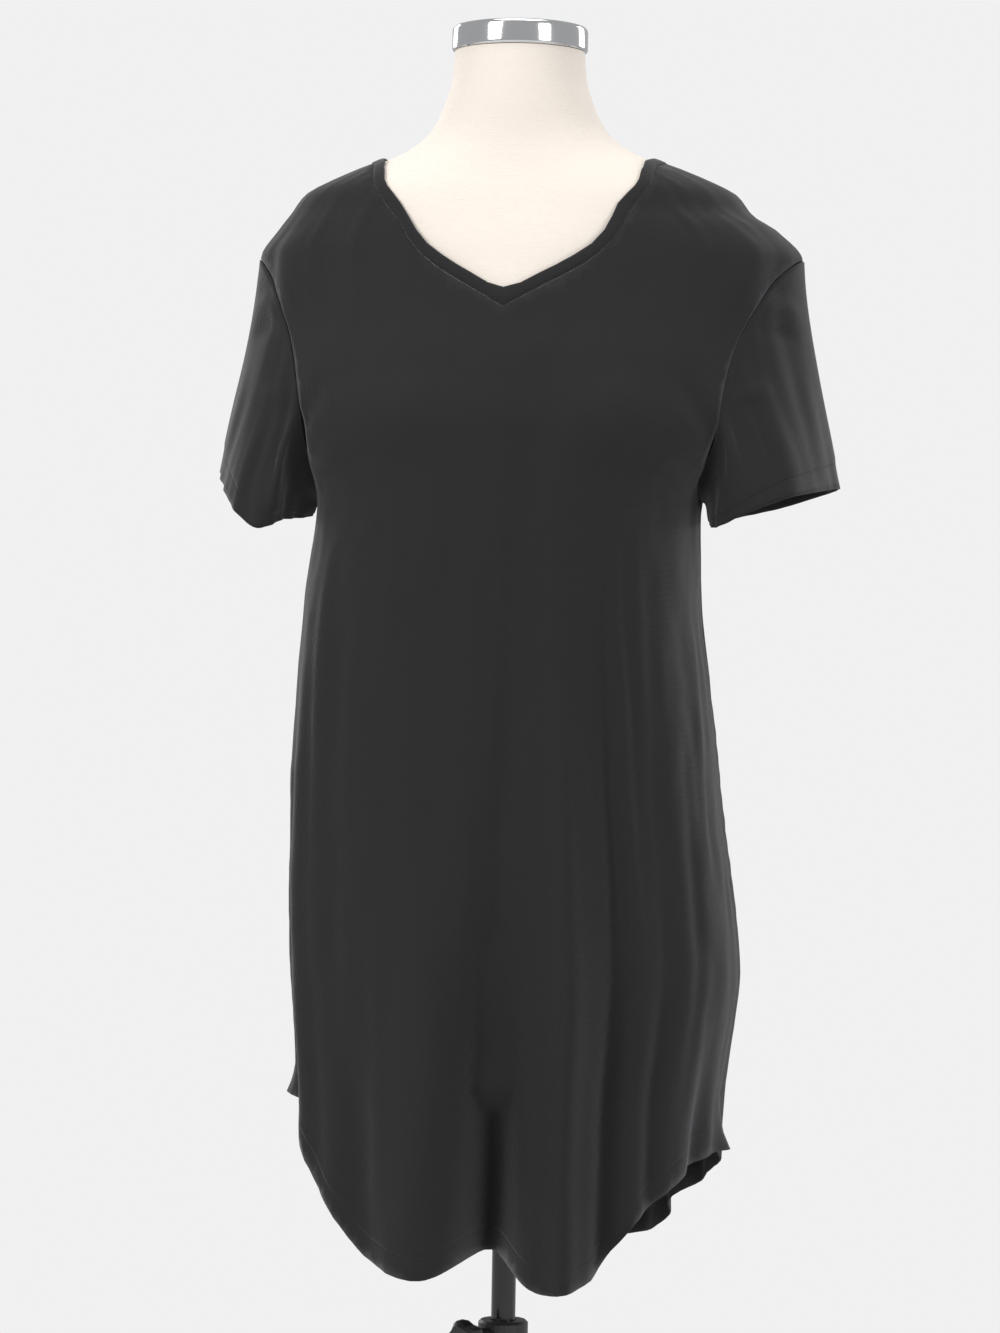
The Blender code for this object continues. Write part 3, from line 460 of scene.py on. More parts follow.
def chart(turn, height):
    """Flat coordinates in cells, in which a panel is cut, with finer cells over the shoulders."""
    above = max(0.0, height - SHOULDER_START)
    return (
        math.radians(turn) * GIRTH_RADIUS / CELL_ACROSS,
        (height + (SHOULDER_FINER - 1.0) * above) / CELL_ALONG,
    )


def unchart(u, v):
    along = v * CELL_ALONG
    above = max(0.0, along - SHOULDER_START)
    height = along - above * (1.0 - 1.0 / SHOULDER_FINER)
    return math.degrees(u * CELL_ACROSS / GIRTH_RADIUS), height


def spaced(line, step=1.0):
    """A fine line of (turn, height), thinned to points about a cell apart, ends kept."""
    flat = [Vector(chart(*point)) for point in line]
    total = sum((b - a).length for a, b in zip(flat, flat[1:]))
    count = max(1, round(total / step))
    kept = [line[0]]
    walked = 0.0
    for i in range(1, len(line)):
        walked += (flat[i] - flat[i - 1]).length
        if walked >= total * len(kept) / count - 1e-9 and len(kept) < count:
            kept.append(line[i])
    kept.append(line[-1])
    return kept


def sweep(start, end, count):
    return [start + (end - start) * i / count for i in range(count + 1)]


def beside(turn, height, ahead, distance):
    """The (turn, height) that lies a distance below a line on the shirt, square to the line's way ahead."""
    step_turn = 0.2
    step_height = 0.001
    across = (shirt_base(turn + step_turn, height) - shirt_base(turn - step_turn, height)) / (2.0 * step_turn)
    along = (shirt_base(turn, height + step_height) - shirt_base(turn, height - step_height)) / (2.0 * step_height)
    way = across * ahead[0] + along * ahead[1]
    down = way.cross(across.cross(along)).normalized() * distance
    a = across.dot(across)
    b = across.dot(along)
    c = along.dot(along)
    p = down.dot(across)
    q = down.dot(along)
    det = a * c - b * b
    return turn + (p * c - q * b) / det, height + (q * a - p * b) / det


def neck_line(distance, turns):
    """The neckline moved down the cloth by a distance, at the given turns of its own edge."""
    line = []
    for turn in turns:
        side = -1.0 if turn < 0.0 else 1.0
        size = min(abs(turn), 180.0)
        size = max(size, 0.05)
        step = 0.3
        low = max(0.05, size - step)
        high = min(180.0, size + step)
        rise = (neck_height(high) - neck_height(low)) / (high - low)
        moved_turn, moved_height = beside(size, neck_height(size), (1.0, rise), distance)
        line.append((side * moved_turn, moved_height))
    return line


def front_neck_half(distance):
    """The right half of the front neckline, from the centre's mitre to the shoulder seam."""
    line = neck_line(distance, FRONT_NECK_TURNS)
    (t1, h1), (t2, h2) = line[0], line[1]
    line.insert(0, (0.0, h1 - t1 * (h2 - h1) / (t2 - t1)))
    return line


def seam_turn(radius):
    """Half a seam's gap as degrees of turn, where the seam is that far from the turn's axis."""
    return math.degrees(0.5 * SEAM_GAP / radius)


def front_outline():
    gap = seam_turn(SIDE_SEAM_RADIUS)
    hem = [(turn, HEM.at("height", turn)) for turn in sweep(-90.0 + gap, 90.0 - gap, 240)]
    side = [(90.0 - gap, height) for height in sweep(HEM.at("height", 90.0), UNDERARM, 80)]
    armhole = armhole_spots(1.0, ARMHOLE_FRONT)[::-1]
    armhole[0] = (90.0 - gap, UNDERARM)
    armhole[-1] = (90.0 - gap, SHOULDER_POINT)
    neck = front_neck_half(BAND_WIDTH + SEAM_GAP)[::-1]
    neck[0] = (90.0 - gap, neck[0][1])
    shoulder = [(90.0 - gap, height) for height in sweep(SHOULDER_POINT, neck[0][1], 60)]
    right = joined([spaced(side), armhole, spaced(shoulder), neck])
    left = [(-turn, left_side_height(height)) for turn, height in right][::-1]
    return joined([spaced(hem), right, left])


def left_side_height(height):
    """The left side seam starts at its own hem height, and shares the rest with the right."""
    low = HEM.at("height", 90.0)
    if height >= UNDERARM:
        return height
    share = (height - low) / (UNDERARM - low)
    return HEM.at("height", -90.0) + share * (UNDERARM - HEM.at("height", -90.0))


def back_outline():
    gap = seam_turn(SIDE_SEAM_RADIUS)
    hem_turns = sweep(90.0 + gap, 270.0 - gap, 240)
    hem = [(turn, HEM.at("height", wrap(turn))) for turn in hem_turns]
    neck = neck_line(BAND_WIDTH + SEAM_GAP, BACK_NECK_TURNS)[::-1]
    neck[0] = (180.0, neck[0][1])
    neck[-1] = (90.0 + gap, neck[-1][1])
    armhole = armhole_spots(1.0, -ARMHOLE_BACK)
    armhole[0] = (90.0 + gap, SHOULDER_POINT)
    armhole[-1] = (90.0 + gap, UNDERARM)
    side = [(90.0 + gap, height) for height in sweep(UNDERARM, HEM.at("height", 90.0), 80)]
    shoulder = [(90.0 + gap, height) for height in sweep(neck[-1][1], SHOULDER_POINT, 60)]
    right = joined([neck, spaced(shoulder), armhole, spaced(side)])
    left = [(360.0 - turn, left_side_height(height)) for turn, height in right][::-1]
    return joined([spaced(hem), left, right])


def joined(lines):
    """Lines end to end as one closed outline, without repeated points."""
    outline = []
    for line in lines:
        for point in line:
            flat = Vector(chart(*point))
            if outline and (flat - Vector(chart(*outline[-1]))).length < 0.08:
                continue
            outline.append(point)
    if (Vector(chart(*outline[0])) - Vector(chart(*outline[-1]))).length < 0.08:
        outline.pop()
    return outline


def inside_points(outline):
    """Grid points in cells, inside the outline and clear of its edge."""
    flat = [Vector(chart(*point)) for point in outline]
    edges = list(zip(flat, flat[1:] + flat[:1]))
    low_u = math.floor(min(p.x for p in flat))
    high_u = math.ceil(max(p.x for p in flat))
    low_v = math.floor(min(p.y for p in flat))
    high_v = math.ceil(max(p.y for p in flat))
    kept = []
    for v in range(low_v, high_v + 1):
        for u in range(low_u, high_u + 1):
            here = Vector((u + (0.5 if v % 2 else 0.0), v))
            crossings = 0
            near = False
            for a, b in edges:
                if (a.y > here.y) != (b.y > here.y):
                    crossing = a.x + (here.y - a.y) * (b.x - a.x) / (b.y - a.y)
                    crossings += here.x < crossing
                way = b - a
                share = max(0.0, min(1.0, (here - a).dot(way) / way.length_squared))
                if (here - a - way * share).length < 0.5:
                    near = True
                    break
            if crossings % 2 and not near:
                kept.append(here)
    return kept


def sleeve_loft(side, cuff_rows):
    """A sleeve's surface as a function of the place round it, counted in points, and the way down it."""
    cuff = Table(CUFF_COLUMNS, cuff_rows, period=360.0)
    spots = armhole_spots(side, ARMHOLE_FRONT, SLEEVE_EDGE_SCALE)
    spots += armhole_spots(side, -ARMHOLE_BACK, SLEEVE_EDGE_SCALE)[-2:0:-1]
    starts = [shirt_surface(*spot) for spot in spots]
    bodies = [outward(shirt_surface, *spot) for spot in spots]

    def point(place, share):
        """The sleeve at a place round it, counted in points, and a share of the way to its hem."""
        i = math.floor(place) % SLEEVE_ROUND
        j = (i + 1) % SLEEVE_ROUND
        part = place - math.floor(place)
        start = starts[i].lerp(starts[j], part)
        out = bodies[i].lerp(bodies[j], part).normalized()
        round_angle = 360.0 * place / SLEEVE_ROUND
        end = Vector([cuff.at(axis, round_angle) for axis in ("x", "y", "z")])
        length = (end - start).length
        chord = (end - start).normalized()
        top = math.cos(math.radians(round_angle))
        leave = (chord - out * chord.dot(out) * 0.6).normalized()
        if top < 0.0:
            leave = leave.lerp(out, smooth(-1.4 * top)).normalized()
        arrive = chord * (1.0 - 0.5 * max(0.0, top)) + Vector((side * 0.16, 0.0, -1.0)) * 0.6
        arrive = arrive.normalized()
        t = share
        return (
            start * ((1.0 + 2.0 * t) * (1.0 - t) ** 2)
            + leave * (length * t * (1.0 - t) ** 2)
            + end * (t * t * (3.0 - 2.0 * t))
            - arrive * (length * t * t * (1.0 - t))
        )

    return point, bodies


# Fine creases on the body, each a line from one spot to another: how wide it is and how far it stands
# out, in metres. A negative depth is a groove.
CREASES = [
    # turn, height, turn, height, width, depth
    (18.5, 1.060, 19.5, 0.620, 0.0080, 0.0026),
    (29.0, 1.080, 29.5, 0.640, 0.0070, 0.0024),
    (31.5, 1.130, 32.5, 0.780, 0.0070, -0.0024),
    (35.0, 1.140, 36.0, 0.740, 0.0070, 0.0022),
    (38.5, 1.130, 40.0, 0.780, 0.0070, -0.0020),
    (42.0, 1.140, 43.5, 0.790, 0.0070, 0.0018),
    (46.5, 1.110, 48.5, 0.740, 0.0090, -0.0018),
    (2.0, 1.140, -3.5, 0.600, 0.0080, 0.0022),
    (-50.0, 1.120, -50.0, 0.800, 0.0120, 0.0028),
    (-42.0, 1.070, -43.0, 0.780, 0.0100, -0.0016),
    (9.0, 1.250, 8.0, 1.080, 0.0300, -0.0034),
    (-25.0, 1.260, -24.0, 1.190, 0.0450, 0.0036),
    (26.0, 1.260, 26.0, 1.190, 0.0450, 0.0036),
    (-60.0, 1.392, -52.0, 1.310, 0.0070, -0.0018),
    (-52.0, 1.398, -45.0, 1.300, 0.0070, 0.0018),
    (-45.0, 1.400, -40.0, 1.310, 0.0060, -0.0016),
    (-38.0, 1.400, -34.0, 1.300, 0.0070, 0.0018),
    (-32.0, 1.395, -30.0, 1.310, 0.0060, -0.0014),
    (44.0, 1.400, 42.0, 1.320, 0.0080, 0.0012),
    (54.0, 1.392, 50.0, 1.310, 0.0080, -0.0012),
    (-68.0, 1.195, -42.0, 1.255, 0.0120, -0.0026),
    (-66.0, 1.175, -38.0, 1.205, 0.0110, 0.0022),
    (64.0, 1.195, 42.0, 1.250, 0.0120, -0.0026),
    (62.0, 1.175, 38.0, 1.195, 0.0110, 0.0022),
    (-72.0, 1.100, -64.0, 0.900, 0.0100, -0.0020),
    (70.0, 1.060, 64.0, 0.880, 0.0100, 0.0018),
    (58.0, 0.980, 55.0, 0.700, 0.0100, -0.0020),
    (-28.0, 0.860, -31.0, 0.600, 0.0110, 0.0020),
    (-8.0, 0.820, -11.0, 0.610, 0.0080, -0.0018),
    (10.0, 0.900, 12.0, 0.610, 0.0080, -0.0020),
    (102.0, 1.080, 101.0, 0.800, 0.0080, 0.0018),
    (-106.0, 1.050, -104.0, 0.780, 0.0080, 0.0018),
    (118.0, 1.180, 146.0, 1.262, 0.0130, -0.0024),
    (-118.0, 1.180, -147.0, 1.258, 0.0130, -0.0024),
    (121.0, 1.150, 150.0, 1.190, 0.0120, 0.0020),
    (-122.0, 1.155, -148.0, 1.200, 0.0120, 0.0020),
    (138.0, 1.160, 137.0, 0.800, 0.0090, -0.0022),
    (152.0, 1.120, 150.0, 0.700, 0.0090, 0.0022),
    (166.0, 1.230, 167.0, 0.860, 0.0120, 0.0022),
    (179.0, 1.180, 176.0, 0.700, 0.0090, -0.0020),
    (-171.0, 1.220, -169.0, 0.820, 0.0110, -0.0022),
    (-157.0, 1.130, -158.0, 0.720, 0.0090, 0.0022),
    (-146.0, 1.160, -149.0, 0.800, 0.0090, -0.0020),
    (-130.0, 1.020, -131.0, 0.760, 0.0090, 0.0018),
    (150.0, 1.385, 156.0, 1.300, 0.0100, -0.0014),
    (-150.0, 1.388, -157.0, 1.300, 0.0100, 0.0014),
]

# Creases on a sleeve: place round it in degrees (0 on top, 90 in front), share of the way from the
# shoulder to the hem, the same for the other end, width and depth.
SLEEVE_CREASES = [
    (52.0, 0.02, 20.0, 0.22, 0.0080, -0.0022),
    (58.0, 0.10, 28.0, 0.30, 0.0080, 0.0020),
    (88.0, 0.20, 60.0, 0.42, 0.0090, -0.0018),
    (75.0, 0.30, 82.0, 0.98, 0.0100, 0.0030),
    (112.0, 0.20, 110.0, 0.96, 0.0120, -0.0024),
    (135.0, 0.35, 130.0, 0.98, 0.0090, 0.0018),
    (30.0, 0.50, 34.0, 0.97, 0.0120, -0.0016),
    (345.0, 0.30, 352.0, 0.96, 0.0130, 0.0014),
    (318.0, 0.05, 335.0, 0.35, 0.0090, -0.0020),
    (285.0, 0.25, 280.0, 0.98, 0.0110, 0.0026),
    (250.0, 0.20, 250.0, 0.96, 0.0120, -0.0022),
]
SLEEVE_ARC_PER_DEGREE = 0.00100
SLEEVE_LENGTH = 0.17


def crease_depth(spot, ends, width, depth):
    """How far one crease moves the cloth at a spot, both in metres over the flat cloth."""
    start, end = ends
    way = end - start
    share = max(0.0, min(1.0, (spot - start).dot(way) / way.length_squared))
    away = (spot - start - way * share).length
    if away >= width:
        return 0.0
    fade = math.sin(math.pi * (0.03 + 0.94 * share)) ** 0.6
    return depth * fade * bell(away, width)


def on_body(turn, height):
    return Vector((math.radians(turn) * GIRTH_RADIUS, height))


BODY_CREASES = [
    ((on_body(a, b), on_body(c, d)), width, depth) for a, b, c, d, width, depth in CREASES
]


def ripple(x, y, seed, long_way=5.0, size=0.022):
    """Soft, uneven waves that run mostly along the cloth's length, from -1 to 1."""
    return noise.noise(Vector((x / size, y / (size * long_way), seed)))


def fine_depth(turn, height):
    """The fine creases, waves and turned hem that the body's sheets add to the model's surface."""
    turn = wrap(turn)
    spot = on_body(turn, height)
    depth = sum(crease_depth(spot, *crease) for crease in BODY_CREASES)
    above_hem = max(0.0, height - HEM.at("height", turn))
    loose = 1.0 - smooth((height - 1.10) / 0.20)
    depth += 0.0016 * loose * ripple(spot.x, spot.y, 3.1)
    depth += 0.0006 * ripple(spot.x, spot.y, 8.4, 2.0, 0.012)
    pucker = math.exp(-above_hem / 0.020)
    depth += 0.0011 * pucker * ripple(spot.x, 0.0, 5.2, 1.0, 0.0065)
    depth += HEM_EXTRA * (1.0 - smooth((above_hem - HEM_TURN_UP) / 0.004))
    if height > SHOULDER_REST - 0.06:
        depth = max(depth, -0.0002)
    return depth


def cloth_point(turn, height):
    base = shirt_surface(turn, height)
    return base + outward(shirt_base, turn, height) * fine_depth(turn, height)


def group_output(tree, name, kind="NodeSocketFloat"):
    tree.interface.new_socket(name=name, in_out="OUTPUT", socket_type=kind)


def group_input(tree, name, value=None, kind="NodeSocketFloat"):
    socket = tree.interface.new_socket(name=name, in_out="INPUT", socket_type=kind)
    if value is not None:
        socket.default_value = value


def math_node(tree, operation, a, b=None):
    node = tree.nodes.new("ShaderNodeMath")
    node.operation = operation
    for socket, value in zip(node.inputs, (a, b)):
        if value is None:
            continue
        if isinstance(value, (int, float)):
            socket.default_value = value
        else:
            tree.links.new(value, socket)
    return node.outputs[0]


def knit_group():
    """The height of plain jersey: columns of small loops, with slightly uneven yarn."""
    tree = bpy.data.node_groups.new("Jersey knit", "ShaderNodeTree")
    group_input(tree, "Vector", kind="NodeSocketVector")
    group_input(tree, "Columns per metre", 1100.0)
    group_input(tree, "Unevenness", 0.35)
    group_output(tree, "Height")
    start = tree.nodes.new("NodeGroupInput")
    end = tree.nodes.new("NodeGroupOutput")
    split = tree.nodes.new("ShaderNodeSeparateXYZ")
    tree.links.new(start.outputs["Vector"], split.inputs[0])
    turns = math_node(tree, "MULTIPLY", start.outputs["Columns per metre"], 2.0 * math.pi)
    around = math_node(tree, "ADD", split.outputs["X"], math_node(tree, "MULTIPLY", split.outputs["Y"], 0.7))
    columns = math_node(tree, "SINE", math_node(tree, "MULTIPLY", around, turns))
    rows = math_node(tree, "SINE", math_node(tree, "MULTIPLY", split.outputs["Z"], turns))
    loops = math_node(tree, "MULTIPLY", math_node(tree, "ABSOLUTE", columns), math_node(tree, "ADD", rows, 1.6))
    yarn = tree.nodes.new("ShaderNodeTexNoise")
    yarn.inputs["Scale"].default_value = 420.0
    yarn.inputs["Detail"].default_value = 3.0
    tree.links.new(start.outputs["Vector"], yarn.inputs["Vector"])
    uneven = math_node(tree, "MULTIPLY", yarn.outputs["Fac"], start.outputs["Unevenness"])
    total = math_node(tree, "ADD", math_node(tree, "MULTIPLY", loops, 0.3), uneven)
    tree.links.new(total, end.inputs["Height"])
    return tree


def mottle_group():
    """A soft mask of broad and fine unevenness, for colour and roughness."""
    tree = bpy.data.node_groups.new("Mottle", "ShaderNodeTree")
    group_input(tree, "Vector", kind="NodeSocketVector")
    group_input(tree, "Broad scale", 9.0)
    group_input(tree, "Fine scale", 160.0)
    group_output(tree, "Mask")
    start = tree.nodes.new("NodeGroupInput")
    end = tree.nodes.new("NodeGroupOutput")
    masks = []
    for name, detail in (("Broad scale", 2.0), ("Fine scale", 4.0)):
        cloud = tree.nodes.new("ShaderNodeTexNoise")
        cloud.inputs["Detail"].default_value = detail
        tree.links.new(start.outputs["Vector"], cloud.inputs["Vector"])
        tree.links.new(start.outputs[name], cloud.inputs["Scale"])
        masks.append(cloud.outputs["Fac"])
    mixed = math_node(tree, "ADD", math_node(tree, "MULTIPLY", masks[0], 0.6), math_node(tree, "MULTIPLY", masks[1], 0.4))
    tree.links.new(mixed, end.inputs["Mask"])
    return tree


def stitch_group():
    """The height of a row of topstitching at a set distance from the edge, on the sheet's own UV map."""
    tree = bpy.data.node_groups.new("Topstitching", "ShaderNodeTree")
    group_input(tree, "Vector", kind="NodeSocketVector")
    group_input(tree, "Distance", HEM_TURN_UP)
    group_input(tree, "Stitch length", 0.0032)
    group_output(tree, "Height")
    start = tree.nodes.new("NodeGroupInput")
    end = tree.nodes.new("NodeGroupOutput")
    split = tree.nodes.new("ShaderNodeSeparateXYZ")
    tree.links.new(start.outputs["Vector"], split.inputs[0])
    away = math_node(tree, "ABSOLUTE", math_node(tree, "SUBTRACT", split.outputs["Y"], start.outputs["Distance"]))
    groove = math_node(tree, "MAXIMUM", math_node(tree, "SUBTRACT", 1.0, math_node(tree, "DIVIDE", away, 0.0016)), 0.0)
    thread = math_node(tree, "MAXIMUM", math_node(tree, "SUBTRACT", 1.0, math_node(tree, "DIVIDE", away, 0.0006)), 0.0)
    along = math_node(tree, "DIVIDE", split.outputs["X"], start.outputs["Stitch length"])
    dash = math_node(tree, "GREATER_THAN", math_node(tree, "FRACT", along), 0.25)
    stitches = math_node(tree, "MULTIPLY", thread, dash)
    height = math_node(tree, "SUBTRACT", math_node(tree, "MULTIPLY", stitches, 0.9), groove)
    tree.links.new(height, end.inputs["Height"])
    return tree


def placed(tree, group, **values):
    node = tree.nodes.new("ShaderNodeGroup")
    node.node_tree = group
    for name, value in values.items():
        socket = node.inputs[name.replace("_", " ")]
        if hasattr(value, "is_output"):
            tree.links.new(value, socket)
        else:
            socket.default_value = value
    return node


def new_material(name, roughness, metallic=0.0):
    made = bpy.data.materials.new(name)
    made.use_nodes = True
    shader = made.node_tree.nodes["Principled BSDF"]
    shader.inputs["Roughness"].default_value = roughness
    shader.inputs["Metallic"].default_value = metallic
    return made, made.node_tree, shader


def toned(tree, mask, dark, light):
    """A colour between two, by a mask."""
    mix = tree.nodes.new("ShaderNodeMix")
    mix.data_type = "RGBA"
    mix.inputs[6].default_value = (*dark, 1.0)
    mix.inputs[7].default_value = (*light, 1.0)
    tree.links.new(mask, mix.inputs[0])
    return mix.outputs[2]


def bumped(tree, shader, height, distance, strength=1.0):
    bump = tree.nodes.new("ShaderNodeBump")
    bump.inputs["Distance"].default_value = distance
    bump.inputs["Strength"].default_value = strength
    tree.links.new(height, bump.inputs["Height"])
    tree.links.new(bump.outputs["Normal"], shader.inputs["Normal"])


def knitted(name, groups, dark, light, sheen, stitch_at, columns=1100.0, knit=0.5):
    """Jersey cloth, with topstitching at a distance from its edge if one is given."""
    made, tree, shader = new_material(name, 0.82)
    where = tree.nodes.new("ShaderNodeTexCoord")
    mottle = placed(tree, groups["mottle"], Vector=where.outputs["Object"])
    tree.links.new(toned(tree, mottle.outputs["Mask"], dark, light), shader.inputs["Base Color"])
    rough = math_node(tree, "ADD", math_node(tree, "MULTIPLY", mottle.outputs["Mask"], 0.12), 0.74)
    tree.links.new(rough, shader.inputs["Roughness"])
    shader.inputs["Sheen Weight"].default_value = sheen
    shader.inputs["Sheen Roughness"].default_value = 0.42
    shader.inputs["Sheen Tint"].default_value = (0.96, 0.94, 0.98, 1.0)
    shader.inputs["Specular IOR Level"].default_value = 0.28
    knits = placed(tree, groups["knit"], Vector=where.outputs["Object"], Columns_per_metre=columns)
    height = math_node(tree, "MULTIPLY", knits.outputs["Height"], knit)
    if stitch_at is not None:
        stitched = placed(tree, groups["stitch"], Vector=where.outputs["UV"], Distance=stitch_at)
        height = math_node(tree, "ADD", height, math_node(tree, "MULTIPLY", stitched.outputs["Height"], 1.6))
    bumped(tree, shader, height, 0.00035)
    return made


def polished(name, groups, dark, light, roughness, metallic, coat=0.0):
    """A hard finish: metal or glossy paint, with faint handling marks."""
    made, tree, shader = new_material(name, roughness, metallic)
    where = tree.nodes.new("ShaderNodeTexCoord")
    marks = placed(tree, groups["mottle"], Vector=where.outputs["Object"], Broad_scale=14.0, Fine_scale=700.0)
    tree.links.new(toned(tree, marks.outputs["Mask"], dark, light), shader.inputs["Base Color"])
    rough = math_node(tree, "ADD", math_node(tree, "MULTIPLY", marks.outputs["Mask"], 0.10), roughness - 0.04)
    tree.links.new(rough, shader.inputs["Roughness"])
    shader.inputs["Coat Weight"].default_value = coat
    bumped(tree, shader, marks.outputs["Mask"], 0.00008, 0.5)
    return made


def sheet_object(name, points, faces, uvs, material):
    mesh = bpy.data.meshes.new(name)
    mesh.from_pydata([tuple(p) for p in points], [], faces)
    mesh.validate()
    layer = mesh.uv_layers.new(name="UVMap")
    for loop in mesh.loops:
        layer.data[loop.index].uv = uvs[loop.vertex_index]
    mesh.shade_smooth()
    mesh.materials.append(material)
    thing = bpy.data.objects.new(name, mesh)
    bpy.context.scene.collection.objects.link(thing)
    thick = thing.modifiers.new("cloth thickness", "SOLIDIFY")
    thick.thickness = CLOTH_THICKNESS
    thick.offset = -1.0
    return thing


def body_sheet(name, outline, material):
    flat = [Vector(chart(*point)) for point in outline]
    points = flat + inside_points(outline)
    result = delaunay_2d_cdt(points, [], [list(range(len(flat)))], 1, 1e-6)
    spots = [unchart(p.x, p.y) for p in result[0]]
    placed_points = [cloth_point(*spot) for spot in spots]
    uvs = [
        (math.radians(turn) * GIRTH_RADIUS, height - HEM.at("height", wrap(turn)))
        for turn, height in spots
    ]
    return sheet_object(name, placed_points, [list(face) for face in result[2]], uvs, material)


def sleeve_sheet(name, side, cuff_rows, material):
    """A sleeve, its creases and its turned hem."""
    point, _ = sleeve_loft(side, cuff_rows)
    creases = [
        (
            (
                Vector((a * SLEEVE_ARC_PER_DEGREE, b * SLEEVE_LENGTH)),
                Vector((c * SLEEVE_ARC_PER_DEGREE, d * SLEEVE_LENGTH)),
            ),
            width,
            depth,
        )
        for a, b, c, d, width, depth in SLEEVE_CREASES
    ]
    points = []
    uvs = []
    faces = []
    for row in range(SLEEVE_ROWS + 1):
        share = row / SLEEVE_ROWS
        for i in range(SLEEVE_ROUND):
            here = point(i, share)
            low = max(0.0, share - 0.02)
            high = min(1.0, share + 0.02)
            across = point(i + 0.5, share) - point(i - 0.5, share)
            out = (point(i, high) - point(i, low)).cross(across).normalized() * side
            angle = 360.0 * i / SLEEVE_ROUND
            spot = Vector((angle * SLEEVE_ARC_PER_DEGREE, share * SLEEVE_LENGTH))
            depth = sum(crease_depth(spot, *crease) for crease in creases)
            turned_up = (1.0 - share) * SLEEVE_LENGTH
            ring = math.radians(angle)
            depth += 0.0010 * ripple(3.0 * math.cos(ring) * 0.06, 3.0 * math.sin(ring) * 0.06, 2.0 * share + side)
            depth += 0.0008 * math.exp(-turned_up / 0.018) * math.sin(19.0 * ring + 2.0 * math.sin(3.0 * ring))
            depth += HEM_EXTRA * (1.0 - smooth((turned_up - HEM_TURN_UP) / 0.004))
            held = smooth(share / 0.10)
            points.append(here + out * (depth * held))
            uvs.append((angle * SLEEVE_ARC_PER_DEGREE, turned_up))
    for row in range(SLEEVE_ROWS):
        for i in range(SLEEVE_ROUND):
            j = (i + 1) % SLEEVE_ROUND
            face = [row * SLEEVE_ROUND + i, row * SLEEVE_ROUND + j]
            face += [(row + 1) * SLEEVE_ROUND + j, (row + 1) * SLEEVE_ROUND + i]
            faces.append(face if side < 0.0 else face[::-1])
    return sheet_object(name, points, faces, uvs, material)


def neckband_sheet(material):
    """The folded neckband: a rounded outer edge, and a step where it is sewn to the shirt."""
    edge = [(0.0, FRONT_NECK)] + neck_line(0.0, FRONT_NECK_TURNS) + neck_line(0.0, BACK_NECK_TURNS)[1:]
    seam = front_neck_half(BAND_WIDTH) + neck_line(BAND_WIDTH, BACK_NECK_TURNS)[1:]
    edge[-1] = (180.0, edge[-1][1])
    seam[-1] = (180.0, seam[-1][1])
    edge += [(-turn, height) for turn, height in edge[1:-1]][::-1]
    seam += [(-turn, height) for turn, height in seam[1:-1]][::-1]
    sections = [(0.0, 0.0002), (0.06, 0.0007), (0.2, BAND_PROUD + 0.0004), (0.5, BAND_PROUD + 0.0005),
                (0.85, BAND_PROUD + 0.0003), (0.97, 0.0004), (1.0, -0.0001)]
    points = []
    uvs = []
    for share, proud in sections:
        for (t0, h0), (t1, h1) in zip(edge, seam):
            spot = (t0 + (t1 - t0) * share, h0 + (h1 - h0) * share)
            points.append(shirt_surface(*spot) + outward(shirt_base, *spot) * proud)
            uvs.append((math.radians(t0) * 0.10, share * BAND_WIDTH))
    count = len(edge)
    faces = []
    for row in range(len(sections) - 1):
        for i in range(count):
            j = (i + 1) % count
            faces.append([row * count + i, (row + 1) * count + i, (row + 1) * count + j, row * count + j])
    return sheet_object("neck_band", points, faces, uvs, material)


def lathe(name, rings, material, sides=128, closed=True):
    """A smooth closed piece from rings of points, each given by a function of the turn."""
    points = []
    for ring in rings:
        points += [ring(360.0 * i / sides) for i in range(sides)]
    faces = []
    for row in range(len(rings) - 1):
        for i in range(sides):
            j = (i + 1) % sides
            faces.append([row * sides + i, row * sides + j, (row + 1) * sides + j, (row + 1) * sides + i])
    if closed:
        faces.append(list(range(sides))[::-1])
        faces.append([(len(rings) - 1) * sides + i for i in range(sides)])
    mesh = bpy.data.meshes.new(name)
    mesh.from_pydata([tuple(p) for p in points], [], faces)
    mesh.shade_smooth()
    mesh.set_sharp_from_angle(angle=math.radians(40.0))
    mesh.materials.append(material)
    thing = bpy.data.objects.new(name, mesh)
    bpy.context.scene.collection.objects.link(thing)
    return thing


def form_cover(material):
    """The dress form under its stretched cover."""
    heights = sweep(FORM_BOTTOM, NECK_TOP, 150)
    inset = 0.0008

    def ring(height):
        return lambda turn: ring_point(FORM, turn, height)

    rings = [ring(height) for height in heights]
    low = FORM_BOTTOM
    first = lambda turn: Vector((*(ring_point(FORM, turn, low).xy * (1.0 - inset / 0.1)), low))  # noqa: E731
    return lathe("form_cover", [first] + [ring(low + inset)] + rings[1:], material)


def cap_cover(material):
    """The round metal cap on the neck, with a rolled edge."""
    low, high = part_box("neck_cap")
    centre = 0.5 * (low + high)
    radius = 0.5 * (high.x - low.x)
    profile = [
        (radius - 0.0030, low.z + 0.0000),
        (radius - 0.0012, low.z + 0.0003),
        (radius - 0.0002, low.z + 0.0014),
        (radius, low.z + 0.0030),
        (radius, high.z - 0.0046),
        (radius - 0.0004, high.z - 0.0030),
        (radius - 0.0016, high.z - 0.0016),
        (radius - 0.0040, high.z - 0.0010),
        (radius * 0.5, high.z - 0.0004),
        (radius * 0.05, high.z),
    ]

    def ring(reach, height):
        return lambda turn: Vector((
            centre.x + reach * math.sin(math.radians(turn)),
            centre.y - reach * math.cos(math.radians(turn)),
            height,
        ))

    return lathe("cap_cover", [ring(reach, height) for reach, height in profile], material)


